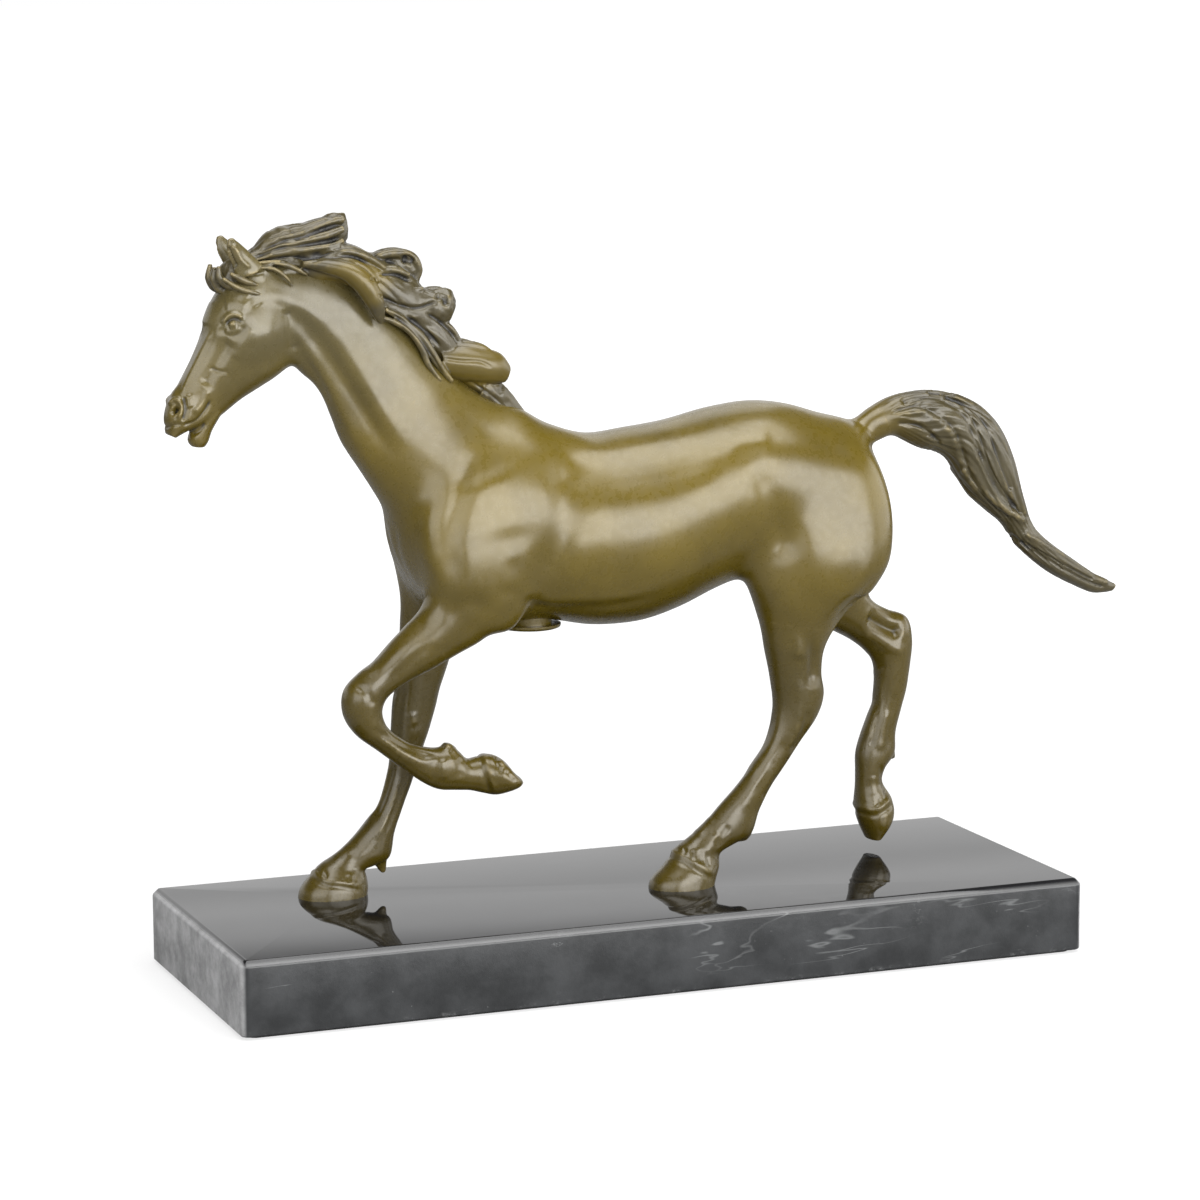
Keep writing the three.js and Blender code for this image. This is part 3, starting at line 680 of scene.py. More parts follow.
def patina_group():
    """Brown patina over bronze: darker in the hollows, rubbed through where it stands proud."""
    group, given, out = new_group(
        "patina",
        [("Patina", "NodeSocketColor", (0.2, 0.14, 0.03, 1)),
         ("Hollow", "NodeSocketColor", (0.03, 0.027, 0.018, 1)),
         ("Rubbed", "NodeSocketColor", (0.6, 0.45, 0.2, 1)),
         ("Wear", "NodeSocketFloat", 1.0)],
        [("Colour", "NodeSocketColor"), ("Roughness", "NodeSocketFloat"),
         ("Bare", "NodeSocketFloat"), ("Height", "NodeSocketFloat")])
    where = object_place(group)
    relief = node(group, "ShaderNodeAttribute", attribute_name="relief").outputs["Fac"]
    broad = cloud(group, where, 34, 5)
    fine = cloud(group, where, 420, 3)
    grain = cloud(group, where, 1500, 2)
    pits = remap(group, cells(group, where, 130), 0.03, 0.075, 1.0, 0.0)
    few = remap(group, cloud(group, where, 60, 2), 0.6, 0.7)
    pits = maths(group, "MULTIPLY", pits, few)
    tinted = node(group, "ShaderNodeVectorMath", operation="SCALE")
    group.links.new(given["Patina"], tinted.inputs[0])
    group.links.new(remap(group, broad, 0.3, 0.7, 0.82, 1.16), tinted.inputs["Scale"])
    hollow = maths(group, "MAXIMUM", remap(group, relief, -0.12, -1.1),
                   maths(group, "MULTIPLY", pits, 0.5))
    hollowed = mix_colour(group, hollow, tinted.outputs[0], given["Hollow"])
    broken = maths(group, "ADD", relief, remap(group, fine, 0.3, 0.7, -0.3, 0.3))
    bare = maths(group, "MULTIPLY", remap(group, broken, 0.3, 1.6), given["Wear"])
    group.links.new(mix_colour(group, bare, hollowed, given["Rubbed"]), out["Colour"])
    group.links.new(bare, out["Bare"])
    rough = maths(group, "ADD", remap(group, fine, 0.3, 0.7, -0.03, 0.05),
                  maths(group, "MULTIPLY", hollow, 0.2))
    group.links.new(rough, out["Roughness"])
    height = maths(group, "ADD", maths(group, "MULTIPLY", fine, 0.6),
                   maths(group, "MULTIPLY", grain, 0.3))
    height = maths(group, "SUBTRACT", height, maths(group, "MULTIPLY", pits, 0.8))
    group.links.new(height, out["Height"])
    return group


def bronze(name, patina, hollow, rubbed, wear, roughness, metal, bump, combed=None):
    """Patinated bronze, darker down the legs; greyer on head and neck, or, where the surface
    is hair, of the colour combed."""
    material, tree, shader = principled(name)
    split = node(tree, "ShaderNodeSeparateXYZ")
    tree.links.new(object_place(tree), split.inputs["Vector"])
    # the colour is darker below 0.15 m and greyer above 0.175 m, by height alone
    dark = tuple(0.6 * channel for channel in patina)
    tone = mix_colour(tree, remap(tree, split.outputs["Z"], 0.09, 0.15), (*dark, 1), (*patina, 1))
    if not combed:
        grey = (patina[0] * 0.86, patina[1] * 0.98, patina[2] * 5.5)
        tone = mix_colour(tree, remap(tree, split.outputs["Z"], 0.175, 0.23), tone, (*grey, 1))
    else:
        hair = node(tree, "ShaderNodeAttribute", attribute_name="hair").outputs["Fac"]
        tone = mix_colour(tree, hair, tone, (*combed, 1))
    finish = use_group(tree, PATINA, Patina=tone, Hollow=(*hollow, 1), Rubbed=(*rubbed, 1),
                       Wear=wear)
    tree.links.new(finish["Colour"], shader.inputs["Base Color"])
    tree.links.new(maths(tree, "ADD", finish["Roughness"], roughness), shader.inputs["Roughness"])
    tree.links.new(maths(tree, "ADD", maths(tree, "MULTIPLY", finish["Bare"], 0.6), metal),
                   shader.inputs["Metallic"])
    raise_surface(tree, shader, finish["Height"], bump, 0.0002)
    shader.inputs["IOR"].default_value = 1.62
    shader.inputs["Coat Weight"].default_value = 0.3
    shader.inputs["Coat Roughness"].default_value = 0.22
    shader.inputs["Coat IOR"].default_value = 1.5
    return material


def marble():
    """Black marble with a few pale veins: polished top, honed sides, paler matt ends, and a painted
    highlight along the chamfers of the long top edges.
    """
    material, tree, shader = principled("black_marble")
    where = object_place(tree)
    split = node(tree, "ShaderNodeSeparateXYZ")
    tree.links.new(where, split.inputs["Vector"])
    x, y, z = split.outputs
    mottled = cloud(tree, where, 55, 6, 0.6)
    dust = cloud(tree, where, 900, 3, 0.6)
    # hairline veins: where a warped noise crosses its middle value
    slanted = stretched(tree, where, (0.55, 0.8, 2.8))
    field = cloud(tree, slanted, 16, 4, 0.55, 0.6)
    line = remap(tree, maths(tree, "ABSOLUTE", maths(tree, "SUBTRACT", field, 0.5)),
                 0.0, 0.008, 1.0, 0.0)
    some = remap(tree, cloud(tree, where, 24, 2), 0.5, 0.68)
    vein = maths(tree, "MULTIPLY", line, some)
    second = cloud(tree, stretched(tree, where, (0.8, 0.8, 2.0)), 30, 5, 0.6, 0.6)
    thin = remap(tree, maths(tree, "ABSOLUTE", maths(tree, "SUBTRACT", second, 0.46)),
                 0.0, 0.006, 0.8, 0.0)
    vein = maths(tree, "MAXIMUM", vein, maths(tree, "MULTIPLY", thin, remap(
        tree, cloud(tree, where, 33, 2), 0.54, 0.66)))
    fleck = maths(tree, "MULTIPLY", remap(tree, cells(tree, where, 260), 0.03, 0.09, 1.0, 0.0),
                  remap(tree, cloud(tree, where, 40, 2), 0.5, 0.6))
    side = remap(tree, z, 0.0235, 0.0252, 1.0, 0.0)
    end = remap(tree, maths(tree, "ABSOLUTE", x), 0.1482, 0.1496)
    edge_y = remap(tree, maths(tree, "ABSOLUTE", y), 0.0535, 0.0548)
    foot = remap(tree, z, 0.0032, 0.0014)
    worn_spots = remap(tree, cloud(tree, where, 210, 6, 0.8), 0.52, 0.7)
    corner = maths(tree, "MULTIPLY", end, edge_y)
    worn = maths(tree, "MULTIPLY", maths(tree, "MAXIMUM", foot, corner), worn_spots)
    # painted highlight: a pale band on the chamfers of the front and back top edges
    painted_edge_highlight = maths(tree, "MULTIPLY", remap(tree, z, 0.0236, 0.0242), edge_y)
    stone = mix_colour(tree, remap(tree, mottled, 0.32, 0.7), (0.021, 0.022, 0.023, 1),
                       (0.05, 0.052, 0.054, 1))
    top_stone = mix_colour(tree, remap(tree, mottled, 0.3, 0.7), (0.008, 0.008, 0.0085, 1),
                           (0.014, 0.014, 0.015, 1))
    honed = mix_colour(tree, remap(tree, cloud(tree, where, 90, 6, 0.7), 0.3, 0.72),
                       (0.25, 0.25, 0.252, 1), (0.52, 0.52, 0.525, 1))
    colour = mix_colour(tree, side, top_stone, stone)
    colour = mix_colour(tree, end, colour, honed)
    marks = maths(tree, "MAXIMUM", maths(tree, "MULTIPLY", vein, 0.32),
                  maths(tree, "MULTIPLY", fleck, 0.25))
    marks = maths(tree, "MULTIPLY", marks, remap(tree, side, 0.0, 1.0, 0.12, 1.0))
    colour = mix_colour(tree, marks, colour, (0.36, 0.37, 0.37, 1))
    colour = mix_colour(tree, maths(tree, "MULTIPLY", worn, 0.3), colour, (0.36, 0.36, 0.36, 1))
    # the painted highlight lays pale grey over those chamfers
    colour = mix_colour(tree, maths(tree, "MULTIPLY", painted_edge_highlight, 0.5), colour, (0.22, 0.22, 0.22, 1))
    tree.links.new(colour, shader.inputs["Base Color"])
    rough = maths(tree, "ADD", remap(tree, side, 0.0, 1.0, 0.03, 0.3),
                  maths(tree, "MULTIPLY", end, 0.35))
    rough = maths(tree, "ADD", rough, maths(tree, "MULTIPLY", worn, 0.3))
    tree.links.new(rough, shader.inputs["Roughness"])
    chipped = maths(tree, "SUBTRACT", dust, maths(tree, "MAXIMUM", fleck, worn))
    raise_surface(tree, shader, maths(tree, "MULTIPLY", side, chipped), 0.25, 0.0002)
    return material


def felt_cloth():
    """Black felt with a short nap."""
    material, tree, shader = principled("black_felt")
    where = object_place(tree)
    fibres = cloud(tree, where, 1400, 4, 0.7)
    colour = mix_colour(tree, remap(tree, fibres, 0.3, 0.7), (0.006, 0.007, 0.006, 1),
                        (0.03, 0.032, 0.03, 1))
    tree.links.new(colour, shader.inputs["Base Color"])
    shader.inputs["Roughness"].default_value = 0.95
    raise_surface(tree, shader, fibres, 0.6, 0.0003)
    return material


def zinc_steel():
    """Zinc-plated steel, slightly mottled."""
    material, tree, shader = principled("zinc_steel")
    where = object_place(tree)
    mottle = cloud(tree, where, 500, 4, 0.6)
    colour = mix_colour(tree, remap(tree, mottle, 0.3, 0.7), (0.42, 0.42, 0.4, 1),
                        (0.62, 0.62, 0.6, 1))
    tree.links.new(colour, shader.inputs["Base Color"])
    tree.links.new(remap(tree, mottle, 0.3, 0.7, 0.28, 0.45), shader.inputs["Roughness"])
    shader.inputs["Metallic"].default_value = 1.0
    return material


PATINA = patina_group()
SKIN = (0.119, 0.083, 0.005)
BRONZE = bronze("bronze", SKIN, (0.03, 0.023, 0.006), (0.36, 0.28, 0.12), 0.4, 0.28, 0.08, 0.14)
BRONZE_HAIR = bronze("bronze_mane", SKIN, (0.014, 0.012, 0.008), (0.3, 0.235, 0.1), 0.6, 0.36,
                     0.1, 0.2, combed=(0.06, 0.047, 0.016))
MARBLE = marble()
FELT = felt_cloth()
STEEL = zinc_steel()

# ------------------------------------------------------------------ body
# One mark: the line of the tool on the three-quarter side view, how wide it spreads and how
# far it raises the surface; below 0 it carves.
BODY_MARKS = [
    # shoulder blade and the muscles over it
    ([(-44, 170), (-39, 157), (-37, 146)], 10, 0.8),
    ([(-50, 176), (-54.5, 161), (-58.5, 145), (-54, 131)], 3.8, -1.1),
    ([(-19, 175), (-16, 162), (-17, 150), (-22, 138), (-29, 128)], 6.0, -1.7),
    ([(-36, 140), (-33.4, 134), (-31.4, 127)], 3.0, -0.5),
    ([(-64, 160), (-67, 148), (-64, 136)], 3.2, 0.5),
    # breast
    ([(-80, 154), (-80, 145), (-77, 137), (-71, 128)], 1.5, 0.5),
    ([(-77.4, 154), (-77.4, 145), (-74.4, 137), (-69.4, 129)], 1.2, -0.6),
    # back, flank and loin
    ([(-31, 172), (-20, 167), (-10, 165), (0, 164), (10, 164), (20, 165), (30, 168),
      (40, 171)], 6.0, -0.45),
    ([(52, 167), (56, 156), (60, 144), (63, 132)], 4.6, -1.2),
    ([(41, 173.6), (49, 174.8), (57, 174.4)], 3.6, 0.6),
    # ribs, barely there
    ([(-16, 158), (-15, 148), (-12, 138)], 2.4, 0.12),
    ([(-7, 158), (-5, 147), (-2, 138)], 2.4, 0.12),
    # haunch
    ([(97, 127), (88.4, 117.8), (79, 109)], 1.3, -0.7),
    ([(94, 131), (86, 121.8), (75, 112)], 1.5, 0.4),
    # elbow, girth and belly line
    ([(-42, 129.5), (-33, 127.2), (-24, 122)], 1.6, -0.6),
    ([(-60, 122), (-51, 126), (-43, 122)], 3.0, -0.8),
    ([(-39, 126.5), (-25, 122.8), (-10, 121.8), (5, 122.3), (17, 124)], 1.6, -0.45),
    ([(-38, 129.6), (-25, 125.6), (-10, 124.6), (5, 125.1), (17, 126.6)], 1.3, 0.3),
]
NECK_MARKS = [
    ([(-113, 224), (-105, 217.4), (-98.5, 208.4), (-93.5, 200.5), (-88.5, 192.6), (-83, 184),
      (-77, 175)], 3.2, -1.5),
    ([(-106, 224), (-97, 215.6), (-91, 207), (-85.4, 198.5), (-80, 188.5), (-74, 178)], 3.2, 0.7),
    ([(-118, 229), (-112, 219.5), (-105.5, 211), (-101, 203), (-96, 193), (-90, 181), (-84, 168)],
     1.8, 0.5),
    ([(-115.5, 221), (-108.6, 211.6), (-103.6, 203.5), (-98, 192)], 1.5, -0.5),
    ([(-121, 231), (-114, 228.8), (-107, 225.4), (-100, 219.6)], 2.0, 0.45),
    ([(-119, 228), (-112.4, 224.8), (-105, 219.6)], 1.4, -0.45),
    ([(-102, 232), (-90, 223), (-82, 214), (-74, 204), (-64, 192)], 7, 0.4),
]


BODY_VOXEL = 0.8


def body_skin():
    """Trunk, neck, shoulders and near haunch in one skin, before it is sawn at the joints."""
    voxel = BODY_VOXEL
    masses = [loft(TRUNK), loft(NECK), loft(SHOULDER, square=0.75),
              loft(other_side(SHOULDER), square=0.75), loft(HAUNCH, square=0.7),
              loft(FORELEG_LEFT[:9]), loft(FORELEG_RIGHT[:7]), loft(HINDLEG_LEFT[:11]),
              loft(HINDLEG_RIGHT[:12]), loft(TAIL[:8])]
    body = fuse("trunk_casting_skin", masses, voxel)
    relax(body, 4.2, voxel)
    melt(body, 5, voxel, where=lambda p: within(p, (-53, 160), (48, 44)))
    melt(body, 4, voxel, where=lambda p: within(p, (66, 154), (40, 42)))
    strokes(body, BODY_MARKS + NECK_MARKS, taper=0.2)
    melt(body, 1.3, voxel)
    return body


def meet(thing, tree, at, run, reach, radius):
    """Close to the joint the limb takes on the surface of its neighbour, so no step shows."""
    points = get_points(thing)
    away = points - np.array(at)
    beyond = away @ (np.array(run) / np.linalg.norm(run))
    near = (beyond > -4) & (beyond < reach) & (np.linalg.norm(away, axis=1) < radius)
    weight = np.clip(1 - beyond / reach, 0, 1)
    weight = weight * weight * (3 - 2 * weight)
    for i in np.flatnonzero(near):
        there = tree.find_nearest(Vector(points[i]))[0]
        points[i] += weight[i] * (np.array(there) - points[i])
    set_points(thing, points)


body = body_skin()
body_mesh = bmesh.new()
body_mesh.from_mesh(body.data)
body_tree = BVHTree.FromBMesh(body_mesh)
body_mesh.free()

hand_finish(body, 0.12, 11)
for at, run, radius in JOINTS.values():
    cut_beyond(body, at, run, radius)
cut_beyond(body, *NECK_JOINT)
record_relief(body, 1.6, BODY_VOXEL, 0.6)
finished(body, BRONZE, "trunk_casting")

# ------------------------------------------------------------------ head and neck
CHEEK_MARKS = [([(-124, 226), (-120.5, 218), (-117, 210)], 6.0, 1.3)]
HEAD_MARKS = [
    # back and lower edge of the jaw
    ([(-113.5, 226), (-111.6, 219), (-110.8, 212)], 2.2, -0.5),
    ([(-134, 203), (-126, 207.5), (-118, 209)], 2.4, -0.2),
    # facial crest and the flat below the eye
    ([(-124.4, 220), (-127, 215.6), (-130.4, 210)], 1.5, 0.3),
    ([(-132.5, 217), (-137, 209.5), (-141.5, 202)], 2.6, -0.9),
    ([(-138.5, 220.5), (-142, 214.5), (-145, 209), (-147.2, 204.5), (-149.3, 199.5)], 1.2, 0.6),
    # eye
    ([(-136, 221), (-133, 218), (-129, 218.4), (-126.6, 221)], 1.4, -0.4),
    ([(-132.4, 221.4), (-130.2, 221.8)], 1.3, 0.8),
    ([(-134.6, 221.6), (-133, 224), (-130.4, 224.6), (-127.6, 223)], 0.9, 0.8),
    ([(-134, 221.4), (-132, 223), (-129.6, 223.1), (-128, 221.8)], 0.5, -0.6),
    ([(-134, 219.8), (-131.4, 219), (-128.4, 220)], 0.7, 0.25),
    ([(-134, 228), (-130, 228.4), (-126, 226.8)], 2.4, 0.35),
    # nostril
    ([(-154, 197), (-151.6, 198.6), (-149.2, 197), (-149, 194), (-150.5, 192)], 0.85, 0.75),
    ([(-152.2, 195.6), (-151, 194.2)], 1.15, -2.4),
    ([(-148.6, 199.5), (-147.8, 195), (-148.8, 191.2)], 0.8, -0.7),
    ([(-147, 200), (-146, 195.5)], 1.2, 0.35),
    # lips
    ([(-155.8, 189.8), (-152, 190.3), (-149.2, 190.3)], 0.6, -0.5),
    ([(-149.4, 190), (-145, 190.8), (-141.6, 194), (-139.2, 198)], 0.7, -0.7),
    ([(-145, 193.6), (-142, 197), (-140, 201)], 1.0, 0.4),
    ([(-139.4, 208.4), (-136.6, 206.8), (-133, 206.4)], 0.6, -0.3),
    ([(-146.5, 187), (-143.5, 188), (-141.5, 190.5)], 0.6, -0.45),
    # ear
    ([(-133.2, 246.5), (-131.8, 243), (-130.2, 239.6)], 1.0, -1.7),
    ([(-134.9, 248.4), (-133.9, 245), (-132.6, 241), (-131.6, 238)], 0.6, 0.5),
    ([(-131.4, 247.4), (-129.4, 245), (-128, 242), (-125, 239.2)], 0.7, 0.55),
    ([(-127, 238.2), (-123.5, 236.8), (-120.5, 237)], 1.2, 0.4),
    # temple and veins
    ([(-125, 231), (-122.5, 227)], 1.8, -0.35),
    ([(-139, 230), (-141, 222)], 2.4, 0.25),
]


def behind_the_cheek(points):
    """0 over the face, rising to 1 on the neck."""
    return 1 - np.clip((-points[:, 0] - 118) / 8, 0.0, 1.0)


def head_skin():
    """Head and neck, sawn off where the neck meets the trunk."""
    voxel = 0.38
    masses = [loft(NECK), loft(HEAD), loft(CHIN), loft(EAR, 24), loft(other_side(EAR), 24)]
    head = fuse("head_and_neck_skin", masses, voxel)
    relax(head, 1.5, voxel)
    melt(head, 1.6, voxel, where=behind_the_cheek)
    melt(head, 2.4, voxel, where=lambda p: within(p, (-117, 222), (15, 22)))
    strokes(head, NECK_MARKS, taper=0.2)
    strokes(head, CHEEK_MARKS, taper=0.5)
    melt(head, 1.2, voxel, where=lambda p: within(p, (-117, 218), (12, 16)))
    melt(head, 0.8, voxel, where=behind_the_cheek)
    strokes(head, HEAD_MARKS, taper=0.12)
    relax(head, 0.75, voxel)
    hand_finish(head, 0.08, 7)
    meet(head, body_tree, *NECK_JOINT, 12, 60)
    cut_beyond(head, *NECK_JOINT, keep="after")
    record_relief(head, 1.0, voxel)
    finished(head, BRONZE, "head_and_neck_casting")


head_skin()


# ------------------------------------------------------------------ legs
def leg_skin(name, stations, context, marks, middle, stands):
    """One leg, blended into the body above it (context) and sawn at its joint; a leg that
    stands is sawn flat on the marble too."""
    voxel = 0.5
    leg = fuse(name + "_skin", [loft(stations), loft(TUFTS[name], 24)] + context, voxel)
    relax(leg, 1.3, voxel)
    strokes(leg, marks, middle=middle, taper=0.15)
    relax(leg, 1.15, voxel)
    at, run, radius = JOINTS[name]
    meet(leg, body_tree, at, run, 9, radius * 1.2)
    hand_finish(leg, 0.08, 7)
    cut_beyond(leg, at, run, keep="after")
    if stands:
        cut_beyond(leg, (0, 0, TOP), (0, 0, -1))
    record_relief(leg, 1.0, voxel)
    finished(leg, BRONZE, name)


FORE_LEFT_MARKS = [
    ([(-65, 130), (-74, 121.4), (-82, 113.6), (-91, 106.6)], 2.6, 0.38),
    ([(-58, 125), (-68, 117.6), (-78, 109.6), (-87, 102.6)], 1.9, -0.45),
    ([(-57, 121), (-66, 114.6), (-75, 108.6)], 2.2, 0.3),
    ([(-97, 104), (-92.4, 100.6), (-90, 96.4)], 1.3, -0.38),
    ([(-90, 89), (-82.4, 83.2), (-75, 79.4), (-69, 77.4)], 1.1, -0.56),
    ([(-88, 85.6), (-80, 79.4), (-72.4, 75)], 1.2, 0.3),
    ([(-67, 77), (-66.4, 70)], 1.2, 0.41),
    ([(-70.4, 77), (-70.2, 69.4)], 1.3, -0.26),
    ([(-61, 77), (-61, 70)], 1.8, -0.34),
    ([(-66, 81.4), (-63.4, 80.4)], 1.0, 0.45),
    ([(-64.4, 79.6), (-62, 76.6)], 0.7, -0.38),
    ([(-52.4, 78), (-51, 73.4), (-49.4, 68.4), (-48.6, 64)], 0.9, 0.49),
    ([(-54.4, 78), (-53.2, 72.4), (-51.4, 67.2), (-50.6, 63.6)], 0.9, -0.41),
    ([(-48.6, 77), (-47.4, 73), (-46, 70.2)], 0.7, -0.52),
    ([(-46.8, 75.2), (-45.4, 72.4)], 0.9, 0.38),
    ([(-44.8, 71.6), (-42.6, 69), (-40.8, 67.2)], 0.8, -0.49),
    ([(-50, 70), (-48.6, 67.4)], 0.5, -0.3),
]
FORE_RIGHT_MARKS = [
    ([(-66.6, 87), (-66, 82.4)], 1.6, 0.3),
    ([(-72.4, 94), (-74, 85.4), (-75, 78)], 1.2, 0.23),
    ([(-69.4, 97), (-71.4, 86), (-72.2, 76)], 1.4, -0.33),
    ([(-61, 100), (-62, 90), (-64, 80)], 1.6, -0.23),
    ([(-73.4, 70), (-76.4, 60.4), (-80.6, 51)], 1.0, -0.39),
    ([(-75, 70), (-78.6, 59.4), (-84, 50)], 1.1, 0.33),
    ([(-70.6, 66), (-74.6, 54.4), (-80, 44)], 1.0, 0.33),
    ([(-68.6, 68), (-72.4, 56.4), (-77, 45)], 1.1, -0.36),
    ([(-89, 41), (-86.6, 34)], 2.0, -0.26),
    ([(-103, 35.6), (-98, 32), (-93, 31), (-88, 29.8), (-84.6, 28.6)], 0.9, 0.36),
    ([(-104, 33.4), (-98.4, 30.2), (-93, 29.2), (-88, 28), (-84.6, 27)], 0.7, -0.29),
    ([(-98.4, 35), (-97.4, 32.4)], 0.5, -0.26),
    ([(-101, 36), (-100, 33.6)], 0.5, -0.23),
    ([(-90, 33), (-89.8, 30)], 0.5, -0.26),
    ([(-87.6, 32.6), (-87.2, 29)], 0.5, -0.26),
]
HIND_LEFT_MARKS = [
    ([(58.6, 118), (61.2, 110), (62, 101)], 2.4, 0.8),
    ([(66.4, 120), (66.8, 109), (67, 98), (66.4, 91)], 2.0, -1.2),
    ([(61.8, 95), (62.4, 86), (61, 77), (57, 70)], 1.6, 0.25),
    ([(66, 84), (63.4, 76), (58.4, 69)], 1.3, -0.5),
    ([(55, 86), (53.4, 77), (49.6, 69.6), (43, 61.6)], 2.0, 0.34),
    ([(58, 75), (51, 63.6), (44.6, 55)], 1.4, -0.25),
    ([(52, 66), (45, 57.4), (41, 50)], 1.8, 0.22),
    ([(55, 62), (48.4, 54)], 1.0, -0.34),
    ([(36, 46), (30.6, 38.6)], 1.4, -0.38),
    ([(31.6, 43.6), (27.6, 36.6)], 1.7, 0.3),
    ([(30, 49), (24, 43)], 1.2, 0.22),
    ([(12.6, 39), (19, 36.8), (24.4, 33.4), (31, 29.2)], 0.9, 0.41),
    ([(11.6, 36.6), (18, 34.6), (23.4, 31.4), (30, 27.6)], 0.7, -0.34),
    ([(25, 38), (26, 33.6)], 0.5, -0.34),
    ([(27.6, 37), (28.6, 32)], 0.5, -0.34),
    ([(22.4, 38.6), (22.6, 35)], 0.5, -0.34),
    ([(19.6, 39.4), (19.6, 36.8)], 0.5, -0.3),
]
HIND_RIGHT_MARKS = [
    ([(101.4, 109.4), (106.6, 106.2), (111.6, 103.6), (115.4, 102.4)], 2.6, -2.4),
    ([(99, 116), (107, 111.8), (114, 109.2), (117.6, 106)], 1.4, 0.34),
    ([(99, 104), (107, 99.6), (113, 96.4), (117, 97.6)], 1.8, 0.52),
    ([(104.4, 97), (108, 89)], 2.2, -0.3),
    ([(110, 75), (108, 66.6), (106.8, 60.4)], 1.7, 0.41),
    ([(106.4, 80), (105, 70), (103.2, 61)], 1.2, -0.38),
    ([(107.4, 87), (106.6, 77.4), (104.4, 70), (101.6, 62)], 1.1, 0.26),
    ([(113, 82), (110.8, 70), (110.2, 60)], 1.1, -0.3),
    ([(104.6, 52), (104.6, 44.4)], 1.8, 0.34),
    ([(107, 56), (108.4, 48.4), (111.4, 42)], 0.9, -0.41),
    ([(98, 41.6), (104, 39.6), (108, 40.8), (112, 44)], 0.9, 0.41),
    ([(98, 39.4), (104, 37.4), (108.6, 38.6), (112.6, 41.4)], 0.7, -0.34),
    ([(106, 44), (105.6, 41)], 0.5, -0.3),
    ([(109, 46), (109, 42.6)], 0.5, -0.3),
]
# The tuft of hair behind each fetlock.
TUFTS = {
    "foreleg_left": [(-70, 78, -66, 82, 2.6, -14.5, 0), (-66.6, 78.4, -64.4, 81.7, 2.2, -14.5, 0),
                     (-63.4, 78.2, -62.4, 80.4, 1.2, -14.5, 0)],
    "foreleg_right": [(-86, 43, -76, 42, 3.2, 17.5, 0), (-83.4, 38.6, -76.6, 37, 2.2, 17.5, 0),
                      (-80.4, 34.6, -77, 33, 1.2, 17.5, 0), (-79, 32.6, -77.6, 32, 0.5, 17.5, 0)],
    "hindleg_left": [(36, 47, 45, 46, 3.2, -14.5, 0), (36, 42.6, 44.4, 42, 2.6, -14.5, 0),
                     (38, 39.6, 42.4, 39.8, 1.4, -14.5, 0)],
    "hindleg_right": [(104, 62, 111.6, 63, 2.8, 15.5, 0), (107, 58.4, 113, 60, 2.2, 15.5, 0),
                      (110.6, 56.8, 113.2, 57.4, 0.9, 15.5, 0)],
}
leg_skin("foreleg_left", FORELEG_LEFT, [loft(SHOULDER), loft(TRUNK[:5])], FORE_LEFT_MARKS,
         -14.5, False)
leg_skin("foreleg_right", FORELEG_RIGHT, [loft(other_side(SHOULDER)), loft(TRUNK[:5])],
         FORE_RIGHT_MARKS, 17.5, True)
leg_skin("hindleg_left", HINDLEG_LEFT, [loft(TRUNK[9:])], HIND_LEFT_MARKS, -14.5, True)
leg_skin("hindleg_right", HINDLEG_RIGHT, [loft(TRUNK[9:])], HIND_RIGHT_MARKS, 15.5, False)


# ------------------------------------------------------------------ hair
def strand(path, widths, y):
    """Tapering lock of hair along a line drawn on the three-quarter side view at depth y."""
    path = np.asarray(path, float) + np.array([-SIDE_X, SIDE_Z]) * abs(y)
    tangent = np.gradient(path, axis=0)
    tangent /= np.linalg.norm(tangent, axis=1)[:, None]
    across = np.stack([-tangent[:, 1], tangent[:, 0]], -1)
    along, known = np.linspace(0, 1, len(path)), np.linspace(0, 1, len(widths))
    rows = []
    for (x, z), (nx, nz), w in zip(path, across, np.interp(along, known, widths)):
        rows.append((x + nx * w, z + nz * w, x - nx * w, z - nz * w, w, y, 0))
    return rows


